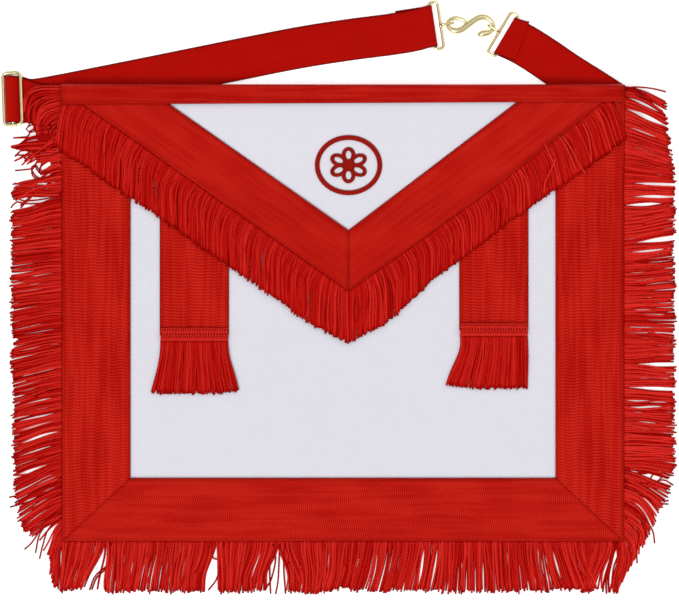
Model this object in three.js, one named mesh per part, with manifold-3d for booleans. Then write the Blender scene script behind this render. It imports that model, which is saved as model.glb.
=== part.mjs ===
// A fringed ceremonial apron with a triangular flap, two tasselled tabs and a waist belt,
// lying flat on its back with the front up.
// Millimetres. +X is to the right as the front is seen, +Y towards the waist, +Z up.
// The origin is the middle of the body's underside.

import * as THREE from 'three';
import { mergeVertices } from 'three/addons/utils/BufferGeometryUtils.js';
import Module from 'manifold-3d';

const wasm = await Module();
wasm.setup();

// Clearance between pieces that touch in the real apron
const GAP = 0.3;

// Body and its ribbon border
const BODY_WIDTH = 406.4;
const BODY_DEPTH = 330.2;
const PANEL_THICKNESS = 1.2;
const RIBBON_THICKNESS = 1.0;
const SIDE_RIBBON_WIDTH = 49.5;
const BOTTOM_RIBBON_WIDTH = 45.8;
const BINDING_WIDTH = 12.7;

// Flap: a triangle that hangs from the binding and points down
const FLAP_LEFT_REACH = 194.2;
const FLAP_RIGHT_REACH = 179.6;
const FLAP_DROP = 149.2;
const FLAP_RIBBON_WIDTH = 35.5;
const FLAP_SHIFT = 4.0;
const FLAP_TUCK = 5.6;
const FLAP_THICKNESS = 1.0;

// Emblem embroidered on the flap
const EMBLEM_WIDTH = 48.7;
const EMBLEM_HEIGHT = 43.2;
const EMBLEM_LINE = 3.2;
const EMBLEM_DROP = 58.4;
const ROSETTE_SHARE = 0.72;
const ROSETTE_LINE = 1.9;
const ROSETTE_CENTRE = 3.4;
const PETALS = 6;
const PETAL_WIDTH_SHARE = 0.62;
const STITCH_HEIGHT = 1.0;
const STITCH_EASE = 0.3;

// Tabs with their braid and tassel fringe
const TAB_WIDTH = 49.0;
const TAB_SPREAD = 216.6;
const TAB_SHIFT = 0.8;
const TAB_LENGTH_LEFT = 185.3;
const TAB_LENGTH_RIGHT = 181.7;
const BRAID_HEIGHT = 9.4;
const BRAID_THICKNESS = 1.6;
const TASSEL_LENGTH = 38.0;

// Fringe
const FRINGE_LENGTH = 36.5;
const FLAP_FRINGE_LENGTH = 40.0;
const HEADER_WIDTH = 6.0;
const HEADER_THICKNESS = 1.2;
const FRINGE_FULLNESS = 2.6;
const TIP_THICKNESS = 1.4;
const LOCK_PITCH = 17.0;
const NOTCH_SHARE = 0.74;
const RAGGEDNESS = 0.045;
const LOCK_PINCH = 0.55;
const RAGGED_PER_LOCK = 2.4;
const RAGGED_PER_COLUMN = 1.1;
const HANG_SHARE = 0.5;
const CORNER_FAN = 22.0;
const CORNER_TURN = 45;
const CORNER_SHARE = 0.84;
const FLAP_TIP_ZONE = 26.0;

// Belt webbing
const BELT_WIDTH = 30.0;
const BELT_THICKNESS = 1.2;
const ANCHOR_INSET = 38.0;
const ANCHOR_DROP = 22.0;
const SHORT_BELT_INSET = 13.8;
const SHORT_BELT_DROP = 11.8;
const SHORT_BELT_REACH = 84.5;
const SHORT_BELT_ANGLE = 146.7;
const SHORT_BELT_FOLD = 11.0;
const LONG_BELT_FOLD = 26.0;

// Slide buckle on the left end of the belt
const SLIDE_LENGTH = 39.8;
const SLIDE_WIDTH = 15.8;
const SLIDE_RAIL = 2.2;
const SLIDE_THICKNESS = 2.0;
const SLIDE_CORNER = 3.6;
const SLIDE_EASE = 0.5;
const SLIDE_OUTSET = 35.9;
const SLIDE_DROP = 10.2;
const SLIDE_TURN = 2.0;

// Clasp: two belt rings with soldered eyes and the snake hook between them
const RING_LENGTH = 36.0;
const RING_WIDTH = 9.0;
const RING_WIRE = 2.1;
const RING_CORNER = 3.4;
const RING_EASE = 0.6;
const RING_LEFT_TURN = 8.6;
const RING_RIGHT_TURN = -30.6;
const EYE_LENGTH = 10.2;
const EYE_WIRE = 1.5;
const EYE_EASE = 0.4;
const CLASP_HEIGHT = 3.1;
const HOOK_LENGTH = 33.9;
const HOOK_TURN = -5.9;
const HOOK_SEAT = 4.6;

// Heights at which the apron's layers start, above the surface or above the lift of the top edge
const BODY_LEFT = -BODY_WIDTH / 2;
const BODY_RIGHT = BODY_WIDTH / 2;
const BODY_TOP = BODY_DEPTH / 2;
const BODY_BOTTOM = -BODY_DEPTH / 2;
const BINDING_BOTTOM = BODY_TOP - BINDING_WIDTH;
const POCKET_TOP = BODY_TOP - RIBBON_THICKNESS - GAP;
const BELT_LAYER = BELT_THICKNESS + GAP;
const RIBBON_LEVEL = PANEL_THICKNESS + GAP;
const FLAP_LEVEL = RIBBON_LEVEL + RIBBON_THICKNESS + GAP;
const FLAP_RIBBON_LEVEL = FLAP_LEVEL + FLAP_THICKNESS + GAP;
const BINDING_LEVEL = FLAP_RIBBON_LEVEL + RIBBON_THICKNESS + GAP;

// The top edge is lifted by the two belt layers and the binding's back leg that lie under it
const LIFT_HEIGHT = 2 * BELT_LAYER + RIBBON_THICKNESS + GAP;
const LIFT_REACH = 80;
const LIFT_MARGIN = 3;
const LIFT_START = BODY_TOP - LIFT_REACH;
const LIFT_END = BINDING_BOTTOM - LIFT_MARGIN;
const LIFT_ROWS = 8;

function lift(y) {
  return LIFT_HEIGHT * THREE.MathUtils.smoothstep(y, LIFT_START, LIFT_END);
}

function degrees(angle) {
  return THREE.MathUtils.degToRad(angle);
}

function headingOf(angle) {
  return new THREE.Vector2(Math.cos(degrees(angle)), Math.sin(degrees(angle)));
}

function leftOf(heading) {
  return new THREE.Vector2(-heading.y, heading.x);
}

function signedVolume(geometry) {
  const { position } = geometry.attributes;
  const { index } = geometry;
  const corners = [new THREE.Vector3(), new THREE.Vector3(), new THREE.Vector3()];
  let volume = 0;
  for (let i = 0; i < index.count; i += 3) {
    corners.forEach((corner, k) => corner.fromBufferAttribute(position, index.getX(i + k)));
    volume += corners[0].dot(corners[1].clone().cross(corners[2])) / 6;
  }
  return volume;
}

// One closed body with shared vertices and its faces pointing out
function closed(geometry) {
  geometry.deleteAttribute('normal');
  geometry.deleteAttribute('uv');
  const merged = mergeVertices(geometry, 1e-4);
  if (signedVolume(merged) < 0) {
    const { index } = merged;
    for (let i = 0; i < index.count; i += 3) {
      const first = index.getX(i);
      index.setX(i, index.getX(i + 1));
      index.setX(i + 1, first);
    }
  }
  merged.computeVertexNormals();
  return merged;
}

function toManifold(geometry) {
  const bare = closed(geometry);
  return new wasm.Manifold(new wasm.Mesh({
    numProp: 3,
    vertProperties: new Float32Array(bare.attributes.position.array),
    triVerts: new Uint32Array(bare.index.array),
  }));
}

// Joins closed bodies into one
function joined(geometries) {
  const whole = geometries.map(toManifold).reduce((sum, part) => sum.add(part));
  const mesh = whole.getMesh();
  const geometry = new THREE.BufferGeometry();
  geometry.setAttribute('position', new THREE.BufferAttribute(mesh.vertProperties, 3));
  geometry.setIndex(new THREE.BufferAttribute(mesh.triVerts, 1));
  geometry.computeVertexNormals();
  return geometry;
}

// A slab of columns and rows whose vertices are put where place(column, row, top) says
function bentSlab(columns, rows, place) {
  const geometry = new THREE.BoxGeometry(1, 1, 1, columns, rows, 1);
  const { position } = geometry.attributes;
  for (let i = 0; i < position.count; i += 1) {
    const column = Math.round((position.getX(i) + 0.5) * columns);
    const row = Math.round((position.getY(i) + 0.5) * rows);
    const point = place(column, row, position.getZ(i) > 0);
    position.setXYZ(i, point.x, point.y, point.z);
  }
  return closed(geometry);
}

// A flat piece of cloth between a left and a right edge, laid on the lifted apron at a level
function clothSheet({ top, bottom, corners = [], left, right, level, thickness }) {
  const liftRows = Array.from(
    { length: LIFT_ROWS + 1 },
    (_, i) => LIFT_START + (i * (LIFT_END - LIFT_START)) / LIFT_ROWS,
  );
  const inner = [...liftRows, ...corners].filter((y) => y > bottom + GAP && y < top - GAP);
  const rows = [bottom, ...inner, top].sort((a, b) => a - b);
  return bentSlab(1, rows.length - 1, (column, row, onTop) => {
    const y = rows[row];
    const x = column === 0 ? left(y) : right(y);
    return new THREE.Vector3(x, y, lift(y) + level + (onTop ? thickness : 0));
  });
}

function roundedRectangle(path, width, height, radius) {
  const x = width / 2;
  const y = height / 2;
  path.moveTo(-x + radius, -y);
  path.lineTo(x - radius, -y);
  path.absarc(x - radius, -y + radius, radius, -Math.PI / 2, 0);
  path.lineTo(x, y - radius);
  path.absarc(x - radius, y - radius, radius, 0, Math.PI / 2);
  path.lineTo(-x + radius, y);
  path.absarc(-x + radius, y - radius, radius, Math.PI / 2, Math.PI);
  path.lineTo(-x, -y + radius);
  path.absarc(-x + radius, -y + radius, radius, Math.PI, 1.5 * Math.PI);
  path.closePath();
  return path;
}

// A shape raised symmetrically about its own plane, with its edges eased to a round wire
function easedPlate(shape, thickness, ease, curveSegments = 4) {
  const geometry = new THREE.ExtrudeGeometry(shape, {
    depth: thickness - 2 * ease,
    bevelThickness: ease,
    bevelSize: ease,
    bevelOffset: -ease,
    bevelSegments: 1,
    curveSegments,
  });
  return geometry.translate(0, 0, ease - thickness / 2);
}

// Body panel, inset where the fringe's header is sewn in beside it
function makeBodyPanel() {
  const inset = HEADER_WIDTH + GAP;
  return clothSheet({
    top: POCKET_TOP,
    bottom: BODY_BOTTOM + inset,
    left: () => BODY_LEFT + inset,
    right: () => BODY_RIGHT - inset,
    level: 0,
    thickness: PANEL_THICKNESS,
  });
}

// Ribbon border, mitred at the two lower corners
function mitreInset(y) {
  const share = (BODY_BOTTOM + BOTTOM_RIBBON_WIDTH - y) / BOTTOM_RIBBON_WIDTH;
  return SIDE_RIBBON_WIDTH * THREE.MathUtils.clamp(1 - share, 0, 1);
}

function makeSideBorder(side) {
  const outer = () => side * BODY_RIGHT;
  const inner = (y) => side * (BODY_RIGHT - Math.max(mitreInset(y) - GAP, GAP));
  return clothSheet({
    top: POCKET_TOP,
    bottom: BODY_BOTTOM + GAP,
    corners: [BODY_BOTTOM + BOTTOM_RIBBON_WIDTH],
    left: side < 0 ? outer : inner,
    right: side < 0 ? inner : outer,
    level: RIBBON_LEVEL,
    thickness: RIBBON_THICKNESS,
  });
}

function makeBottomBorder() {
  const edge = (y) => BODY_RIGHT - mitreInset(y) - GAP;
  return clothSheet({
    top: BODY_BOTTOM + BOTTOM_RIBBON_WIDTH,
    bottom: BODY_BOTTOM,
    left: (y) => -edge(y),
    right: edge,
    level: RIBBON_LEVEL,
    thickness: RIBBON_THICKNESS,
  });
}

// Flap edges: straight lines from the binding's lower edge to the tip
const flapReach = (side) => (side < 0 ? FLAP_LEFT_REACH : FLAP_RIGHT_REACH);
const flapSlope = (side) => (FLAP_DROP - BINDING_WIDTH) / flapReach(side);
const flapAngle = (side) => Math.atan(flapSlope(side));
const FLAP_COSINE = (Math.cos(flapAngle(-1)) + Math.cos(flapAngle(1))) / 2;
const FLAP_TIP = new THREE.Vector2(FLAP_SHIFT, BODY_TOP - FLAP_DROP);
const FLAP_TOP = BINDING_BOTTOM + FLAP_TUCK;

// How far the flap reaches to a side at a height, with its edge moved in by a distance
function flapEdge(side, y, inset) {
  return (y - FLAP_TIP.y - inset / FLAP_COSINE) / flapSlope(side);
}

function makeFlapPanel() {
  const inset = HEADER_WIDTH + GAP;
  const tip = FLAP_TIP.y + (inset + 1) / FLAP_COSINE;
  return clothSheet({
    top: FLAP_TOP,
    bottom: tip,
    left: (y) => FLAP_SHIFT - flapEdge(-1, y, inset),
    right: (y) => FLAP_SHIFT + flapEdge(1, y, inset),
    level: FLAP_LEVEL,
    thickness: FLAP_THICKNESS,
  });
}

function makeFlapRibbon(side) {
  const innerTip = FLAP_TIP.y + FLAP_RIBBON_WIDTH / FLAP_COSINE;
  const outer = (y) => FLAP_SHIFT + side * Math.max(flapEdge(side, y, 0), 2 * GAP);
  const inner = (y) => FLAP_SHIFT + side * Math.max(flapEdge(side, y, FLAP_RIBBON_WIDTH), GAP / 2);
  return clothSheet({
    top: FLAP_TOP,
    bottom: FLAP_TIP.y + GAP,
    corners: [innerTip],
    left: side < 0 ? outer : inner,
    right: side < 0 ? inner : outer,
    level: FLAP_RIBBON_LEVEL,
    thickness: RIBBON_THICKNESS,
  });
}

// Emblem: an oval ring of raised satin stitch with a plain six-petalled rosette inside
const EMBLEM_CENTRE = new THREE.Vector2(FLAP_SHIFT, BODY_TOP - EMBLEM_DROP);

// Lays embroidery on the flap, following its lift
function onEmblem(geometry) {
  geometry.translate(EMBLEM_CENTRE.x, EMBLEM_CENTRE.y, FLAP_RIBBON_LEVEL + STITCH_HEIGHT / 2);
  const { position } = geometry.attributes;
  for (let i = 0; i < position.count; i += 1) {
    position.setZ(i, position.getZ(i) + lift(position.getY(i)));
  }
  return closed(geometry);
}

function makeEmblemRing() {
  const shape = new THREE.Shape();
  shape.absellipse(0, 0, EMBLEM_WIDTH / 2, EMBLEM_HEIGHT / 2, 0, 2 * Math.PI);
  const hole = new THREE.Path();
  const holeWidth = EMBLEM_WIDTH - 2 * EMBLEM_LINE;
  const holeHeight = EMBLEM_HEIGHT - 2 * EMBLEM_LINE;
  hole.absellipse(0, 0, holeWidth / 2, holeHeight / 2, 0, 2 * Math.PI);
  shape.holes.push(hole);
  return onEmblem(easedPlate(shape, STITCH_HEIGHT, STITCH_EASE, 16));
}

function makeEmblemRosette() {
  const reach = (ROSETTE_SHARE * (EMBLEM_HEIGHT - 2 * EMBLEM_LINE)) / 2;
  const petalLength = reach - ROSETTE_CENTRE / 2;
  const petalWidth = reach * PETAL_WIDTH_SHARE;
  const petals = Array.from({ length: PETALS }, (_, i) => {
    const petal = new THREE.Shape();
    petal.absellipse(0, 0, petalWidth / 2, petalLength / 2, 0, 2 * Math.PI);
    const hole = new THREE.Path();
    const lengthLeft = petalLength / 2 - ROSETTE_LINE;
    hole.absellipse(0, 0, petalWidth / 2 - ROSETTE_LINE, lengthLeft, 0, 2 * Math.PI);
    petal.holes.push(hole);
    const plate = new THREE.ExtrudeGeometry(petal, {
      depth: STITCH_HEIGHT,
      bevelEnabled: false,
      curveSegments: 7,
    });
    plate.translate(0, reach - petalLength / 2, -STITCH_HEIGHT / 2);
    return plate.rotateZ((i * 2 * Math.PI) / PETALS);
  });
  const centre = new THREE.CylinderGeometry(ROSETTE_CENTRE, ROSETTE_CENTRE, STITCH_HEIGHT, 12);
  const rosette = joined([...petals, centre.rotateX(Math.PI / 2)]);
  rosette.scale(EMBLEM_WIDTH / EMBLEM_HEIGHT, 1, 1);
  return onEmblem(rosette);
}

// Tabs hang from the binding under the flap; a braid band covers the join with the tassel
function tabEdges(side) {
  const centre = TAB_SHIFT + (side * TAB_SPREAD) / 2;
  return { left: centre - TAB_WIDTH / 2, right: centre + TAB_WIDTH / 2 };
}

function tabEnd(side) {
  return BODY_TOP - (side < 0 ? TAB_LENGTH_LEFT : TAB_LENGTH_RIGHT);
}

function makeTab(side) {
  const { left, right } = tabEdges(side);
  return clothSheet({
    top: FLAP_TOP,
    bottom: tabEnd(side) + BRAID_HEIGHT / 2,
    left: () => left,
    right: () => right,
    level: RIBBON_LEVEL,
    thickness: RIBBON_THICKNESS,
  });
}

function makeTabBraid(side) {
  const { left, right } = tabEdges(side);
  return clothSheet({
    top: tabEnd(side) + BRAID_HEIGHT,
    bottom: tabEnd(side),
    left: () => left - GAP,
    right: () => right + GAP,
    level: FLAP_LEVEL,
    thickness: BRAID_THICKNESS,
  });
}

// A fringe is a header with locks of strands that leave it along out and end along hang.
// station(share) gives the root on the edge, the edge's normal, both directions, and the length.
const FRINGE_ROWS = [
  { reach: 0, swell: 0 },
  { reach: 0.3, swell: 1 },
  { reach: 0.7, swell: 0.85 },
  { reach: 1, swell: 0 },
];
const LOCK_COLUMNS = 3;

function fringeSolid({ span, station, floor, header = HEADER_WIDTH }) {
  const locks = Math.max(2, Math.round(span / LOCK_PITCH));
  const columns = locks * LOCK_COLUMNS;
  return bentSlab(columns, FRINGE_ROWS.length, (column, row, onTop) => {
    const phase = column % LOCK_COLUMNS;
    const lock = Math.floor(column / LOCK_COLUMNS);
    const spread = [0, -LOCK_PINCH, LOCK_PINCH][phase] / columns;
    const isEnd = column === 0 || column === columns;
    const { reach, swell } = FRINGE_ROWS[Math.max(row - 1, 0)];
    const { root, normal, out, hang, length } = station(column / columns + spread * reach);
    const level = floor(root, reach);
    if (row === 0) {
      const back = out.clone().multiplyScalar(-header / out.dot(normal));
      const inner = root.clone().add(back);
      return new THREE.Vector3(inner.x, inner.y, floor(inner, 0) + (onTop ? HEADER_THICKNESS : 0));
    }
    const notch = phase === 0 && !isEnd ? NOTCH_SHARE : 1;
    const ragged = 1 + RAGGEDNESS * Math.sin(RAGGED_PER_LOCK * lock + RAGGED_PER_COLUMN * phase);
    const distance = reach * length * (reach === 1 ? notch * ragged : 1);
    const turned = out.clone().lerp(hang, HANG_SHARE * reach).normalize();
    const tip = root.clone().add(turned.multiplyScalar(distance));
    const bare = reach === 1 ? TIP_THICKNESS : HEADER_THICKNESS;
    const thickness = bare + swell * (FRINGE_FULLNESS - HEADER_THICKNESS);
    return new THREE.Vector3(tip.x, tip.y, Math.max(level, floor(tip, reach)) + (onTop ? thickness : 0));
  });
}

// Outer fringe: straight out, fanned round the lower corners, swept down at the upper ends
const FAN_EASE = 1.5;
const SWEEP_EASE = 0.8;
const SWEEP_LENGTH = 60;
const SWEEP_SHARE = 0.64;
const LEFT_SWEEP = 55;
const RIGHT_SWEEP = 28;

function turnedBy(vector, angle) {
  return vector.clone().rotateAround(new THREE.Vector2(), degrees(angle));
}

const FLOOR_RISE_START = 14;
const FLOOR_RISE_END = 3;

// The left belt layers lie under the left fringe's upper end, and nothing under the rest
function fringeFloor(point, reach) {
  const beltEdge = BODY_TOP - SLIDE_DROP - BELT_WIDTH / 2;
  const risen = THREE.MathUtils.smoothstep(point.y, beltEdge - FLOOR_RISE_START, beltEdge - FLOOR_RISE_END);
  const overBelt = point.x < 0 ? risen * (2 * BELT_LAYER + GAP) : 0;
  return Math.max(lift(point.y) * (1 - reach), overBelt);
}

function makeSideFringe(side) {
  const normal = new THREE.Vector2(side, 0);
  const start = BODY_BOTTOM + GAP;
  const end = BODY_TOP - RIBBON_THICKNESS;
  const sweep = side < 0 ? LEFT_SWEEP : RIGHT_SWEEP;
  const station = (share) => {
    const y = THREE.MathUtils.lerp(start, end, THREE.MathUtils.clamp(share, 0, 1));
    const fan = Math.max(0, 1 - (y - start) / CORNER_FAN) ** FAN_EASE;
    const swept = Math.max(0, 1 - (end - y) / SWEEP_LENGTH) ** SWEEP_EASE;
    const out = turnedBy(normal, -side * CORNER_TURN * fan);
    const shorter = 1 - (1 - CORNER_SHARE) * fan - (1 - SWEEP_SHARE) * swept;
    return {
      root: new THREE.Vector2(side * BODY_RIGHT, y),
      normal,
      out,
      hang: turnedBy(out, -side * sweep * swept),
      length: FRINGE_LENGTH * shorter,
    };
  };
  return fringeSolid({ span: end - start, station, floor: fringeFloor });
}

function makeBottomFringe() {
  const normal = new THREE.Vector2(0, -1);
  const half = BODY_RIGHT - GAP;
  const station = (share) => {
    const x = THREE.MathUtils.lerp(-half, half, THREE.MathUtils.clamp(share, 0, 1));
    const fan = Math.max(0, 1 - (half - Math.abs(x)) / CORNER_FAN) ** FAN_EASE;
    const out = turnedBy(normal, Math.sign(x) * CORNER_TURN * fan);
    return {
      root: new THREE.Vector2(x, BODY_BOTTOM),
      normal,
      out,
      hang: out,
      length: FRINGE_LENGTH * (1 - (1 - CORNER_SHARE) * fan),
    };
  };
  return fringeSolid({ span: 2 * half, station, floor: () => 0 });
}

// Flap fringe: leaves square to the flap's edge and bends to hang straight down
const TIP_EASE = 1.2;

function makeFlapFringe(side) {
  const down = new THREE.Vector2(0, -1);
  const angle = flapAngle(side);
  const normal = new THREE.Vector2(side * Math.sin(angle), -Math.cos(angle));
  const seam = FLAP_SHIFT + side * GAP;
  const reach = flapReach(side);
  const station = (share) => {
    const clamped = THREE.MathUtils.clamp(share, 0, 1);
    const x = THREE.MathUtils.lerp(GAP, reach, clamped);
    const towardsTip = Math.max(0, 1 - x / FLAP_TIP_ZONE) ** TIP_EASE;
    return {
      root: new THREE.Vector2(FLAP_SHIFT + side * x, FLAP_TIP.y + flapSlope(side) * x),
      normal,
      out: x <= GAP ? down : normal.clone().lerp(down, towardsTip).normalize(),
      hang: down,
      length: FLAP_FRINGE_LENGTH,
    };
  };
  const floor = (point) => lift(point.y) + FLAP_LEVEL;
  const solid = fringeSolid({ span: reach / Math.cos(angle), station, floor });
  const { position } = solid.attributes;
  for (let i = 0; i < position.count; i += 1) {
    const x = position.getX(i);
    position.setX(i, side < 0 ? Math.min(x, seam) : Math.max(x, seam));
  }
  return solid;
}

const TAB_FLARE = [
  { side: -1, left: 6.5, right: 6.5 },
  { side: 1, left: 9, right: 1 },
];

function makeTabFringe(side) {
  const { left, right } = tabEdges(side);
  const flare = TAB_FLARE.find((row) => row.side === side);
  const station = (share) => {
    const clamped = THREE.MathUtils.clamp(share, 0, 1);
    const shift = THREE.MathUtils.lerp(-flare.left, flare.right, clamped);
    return {
      root: new THREE.Vector2(THREE.MathUtils.lerp(left, right, clamped), tabEnd(side)),
      normal: new THREE.Vector2(0, -1),
      out: new THREE.Vector2(0, -1),
      hang: new THREE.Vector2(shift / HANG_SHARE, -TASSEL_LENGTH).normalize(),
      length: TASSEL_LENGTH,
    };
  };
  const floor = () => RIBBON_LEVEL;
  return fringeSolid({ span: TAB_WIDTH, station, floor, header: BRAID_HEIGHT / 2 - GAP });
}

// Binding folded over the top edge, open downwards like a C
function makeTopBinding() {
  const leg = RIBBON_THICKNESS;
  const shape = new THREE.Shape();
  const back = LIFT_HEIGHT - GAP - leg;
  const front = LIFT_HEIGHT + BINDING_LEVEL + leg;
  shape.moveTo(BINDING_BOTTOM, back);
  shape.lineTo(BODY_TOP - leg, back);
  shape.lineTo(BODY_TOP, back + leg);
  shape.lineTo(BODY_TOP, front - leg);
  shape.lineTo(BODY_TOP - leg, front);
  shape.lineTo(BINDING_BOTTOM, front);
  shape.lineTo(BINDING_BOTTOM, front - leg);
  shape.lineTo(BODY_TOP - leg, front - leg);
  shape.lineTo(BODY_TOP - leg, back + leg);
  shape.lineTo(BINDING_BOTTOM, back + leg);
  shape.closePath();
  const geometry = new THREE.ExtrudeGeometry(shape, { depth: BODY_WIDTH, bevelEnabled: false });
  const along = new THREE.Matrix4().makeBasis(
    new THREE.Vector3(0, 1, 0),
    new THREE.Vector3(0, 0, 1),
    new THREE.Vector3(1, 0, 0),
  );
  geometry.applyMatrix4(along);
  return closed(geometry.translate(BODY_LEFT, 0, 0));
}

// Where the metal lies: each piece is placed from the one before it, starting at a body corner
const slideHeading = headingOf(SLIDE_TURN);
const slideCentre = new THREE.Vector2(BODY_LEFT - SLIDE_OUTSET, BODY_TOP - SLIDE_DROP);
const shortAnchor = new THREE.Vector2(BODY_RIGHT - SHORT_BELT_INSET, BODY_TOP - SHORT_BELT_DROP);
const longAnchor = new THREE.Vector2(BODY_LEFT + ANCHOR_INSET, BODY_TOP - ANCHOR_DROP);
const rightHeading = headingOf(RING_RIGHT_TURN);
const leftHeading = headingOf(RING_LEFT_TURN);
const hookHeading = headingOf(HOOK_TURN);
const barReach = (RING_WIDTH - RING_WIRE) / 2;
const rightBeltBar = shortAnchor.clone().addScaledVector(headingOf(SHORT_BELT_ANGLE), SHORT_BELT_REACH);
const rightRing = rightBeltBar.clone().addScaledVector(rightHeading, -barReach);
const hookRight = rightRing.clone().addScaledVector(rightHeading, -barReach - HOOK_SEAT);
const hookLeft = hookRight.clone().addScaledVector(hookHeading, -HOOK_LENGTH);
const leftRing = hookLeft.clone().addScaledVector(leftHeading, -barReach - HOOK_SEAT);
const leftBeltBar = leftRing.clone().addScaledVector(leftHeading, -barReach);

// Slide buckle: three rails, its left rail on the surface and its right rail above the belt
const railReach = (SLIDE_WIDTH - SLIDE_RAIL) / 2;
const railSlack = 0.25;
const leftRailHeight = SLIDE_THICKNESS / 2 + railSlack;
const rightRailHeight = 2 * BELT_LAYER + SLIDE_THICKNESS / 2 + railSlack;
const slideTilt = Math.asin((rightRailHeight - leftRailHeight) / (2 * railReach));
const slideBarHeight = (leftRailHeight + rightRailHeight) / 2;

function makeSlide() {
  const frame = roundedRectangle(new THREE.Shape(), SLIDE_WIDTH, SLIDE_LENGTH, SLIDE_CORNER);
  const slotWidth = railReach - SLIDE_RAIL;
  const slotLength = SLIDE_LENGTH - 2 * SLIDE_RAIL;
  for (const side of [-1, 1]) {
    const slot = roundedRectangle(new THREE.Path(), slotWidth, slotLength, SLIDE_RAIL / 2);
    const points = slot.getPoints(3).map((point) => point.add(new THREE.Vector2((side * railReach) / 2, 0)));
    frame.holes.push(new THREE.Path(points));
  }
  const geometry = easedPlate(frame, SLIDE_THICKNESS, SLIDE_EASE, 4);
  geometry.rotateY(-slideTilt);
  geometry.rotateZ(degrees(SLIDE_TURN));
  return closed(geometry.translate(slideCentre.x, slideCentre.y, slideBarHeight));
}

// Belt ring with a long eye soldered square to one of its long bars
function makeRing(centre, turn, eyeSide) {
  const outline = roundedRectangle(new THREE.Shape(), RING_WIDTH, RING_LENGTH, RING_CORNER);
  const slotWidth = RING_WIDTH - 2 * RING_WIRE;
  const slotLength = RING_LENGTH - 2 * RING_WIRE;
  outline.holes.push(roundedRectangle(new THREE.Path(), slotWidth, slotLength, RING_CORNER - RING_WIRE));
  const ring = easedPlate(outline, RING_WIRE, RING_EASE, 3);
  const eyeLength = EYE_LENGTH + EYE_WIRE / 2;
  const eyeHeight = 2 * (CLASP_HEIGHT - GAP / 2);
  const eyeOutline = roundedRectangle(new THREE.Shape(), eyeLength, eyeHeight, eyeHeight / 2 - GAP);
  const holeHeight = eyeHeight - 2 * EYE_WIRE;
  const hole = roundedRectangle(new THREE.Path(), eyeLength - 2 * EYE_WIRE, holeHeight, holeHeight / 2 - GAP);
  eyeOutline.holes.push(hole);
  const eye = easedPlate(eyeOutline, EYE_WIRE, EYE_EASE, 3);
  eye.rotateX(Math.PI / 2);
  eye.translate(eyeSide * (barReach - EYE_WIRE / 2 + eyeLength / 2), 0, 0);
  const whole = joined([ring, eye]);
  whole.rotateZ(degrees(turn));
  return closed(whole.translate(centre.x, centre.y, CLASP_HEIGHT));
}

// Snake hook: places along and beside its length as shares of it, radii as shares of its thickness
const HOOK_THICKNESS = 4.2;
const HOOK_TAIL = [
  { along: 0.432, side: 0.03, radius: 0.28 },
  { along: 0.36, side: 0.105, radius: 0.3 },
  { along: 0.25, side: 0.14, radius: 0.34 },
  { along: 0.138, side: 0.14, radius: 0.34 },
  { along: 0.045, side: 0.088, radius: 0.3 },
  { along: 0, side: 0, radius: 0.27 },
];
const HOOK_BODY = [
  { along: 0, side: 0, radius: 0.27 },
  { along: 0.067, side: -0.09, radius: 0.38 },
  { along: 0.189, side: -0.13, radius: 0.5 },
  { along: 0.305, side: -0.1, radius: 0.53 },
  { along: 0.414, side: -0.013, radius: 0.53 },
  { along: 0.522, side: 0.093, radius: 0.53 },
  { along: 0.63, side: 0.183, radius: 0.52 },
  { along: 0.744, side: 0.223, radius: 0.5 },
  { along: 0.865, side: 0.205, radius: 0.43 },
  { along: 0.962, side: 0.121, radius: 0.32 },
  { along: 1, side: 0, radius: 0.27 },
  { along: 0.925, side: -0.085, radius: 0.36 },
  { along: 0.82, side: -0.12, radius: 0.56 },
  { along: 0.735, side: -0.145, radius: 0.5 },
  { along: 0.665, side: -0.17, radius: 0.16 },
];
const HOOK_SIDES = 8;
const HOOK_STEPS = 2;

// A round rod through a table of sections, made from a cylinder bent to follow them
function hookRod(rows) {
  const points = rows.map((row) => {
    const base = hookLeft.clone().addScaledVector(hookHeading, row.along * HOOK_LENGTH);
    return base.addScaledVector(leftOf(hookHeading), row.side * HOOK_LENGTH);
  });
  const curve = new THREE.SplineCurve(points);
  const steps = (rows.length - 1) * HOOK_STEPS;
  const geometry = new THREE.CylinderGeometry(1, 1, 1, HOOK_SIDES, steps);
  const { position } = geometry.attributes;
  for (let i = 0; i < position.count; i += 1) {
    const share = position.getY(i) + 0.5;
    const place = share * (rows.length - 1);
    const before = Math.min(Math.floor(place), rows.length - 2);
    const radiusShare = THREE.MathUtils.lerp(rows[before].radius, rows[before + 1].radius, place - before);
    const radius = HOOK_THICKNESS * radiusShare;
    const centre = curve.getPoint(share);
    const across = leftOf(curve.getTangent(share)).multiplyScalar(position.getX(i) * radius);
    const height = CLASP_HEIGHT + position.getZ(i) * radius;
    position.setXYZ(i, centre.x + across.x, centre.y + across.y, height);
  }
  return geometry;
}

function makeHook() {
  return closed(joined([hookRod(HOOK_TAIL), hookRod(HOOK_BODY)]));
}

// Belt: a strap through stations that each hold its middle and the direction across it
function strap(stations) {
  const last = stations.length - 1;
  return bentSlab(1, last, (column, row, onTop) => {
    const { point, across } = stations[row];
    const ahead = stations[Math.min(row + 1, last)].point;
    const behind = stations[Math.max(row - 1, 0)].point;
    const tangent = ahead.clone().sub(behind).normalize();
    const normal = tangent.cross(across).normalize();
    const place = point.clone().addScaledVector(across, (column - 0.5) * BELT_WIDTH);
    return place.addScaledVector(normal, (onTop ? 0.5 : -0.5) * BELT_THICKNESS);
  });
}

const TURN_SHARE = 0.6;
const TURN_MARGIN = 1;

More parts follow.
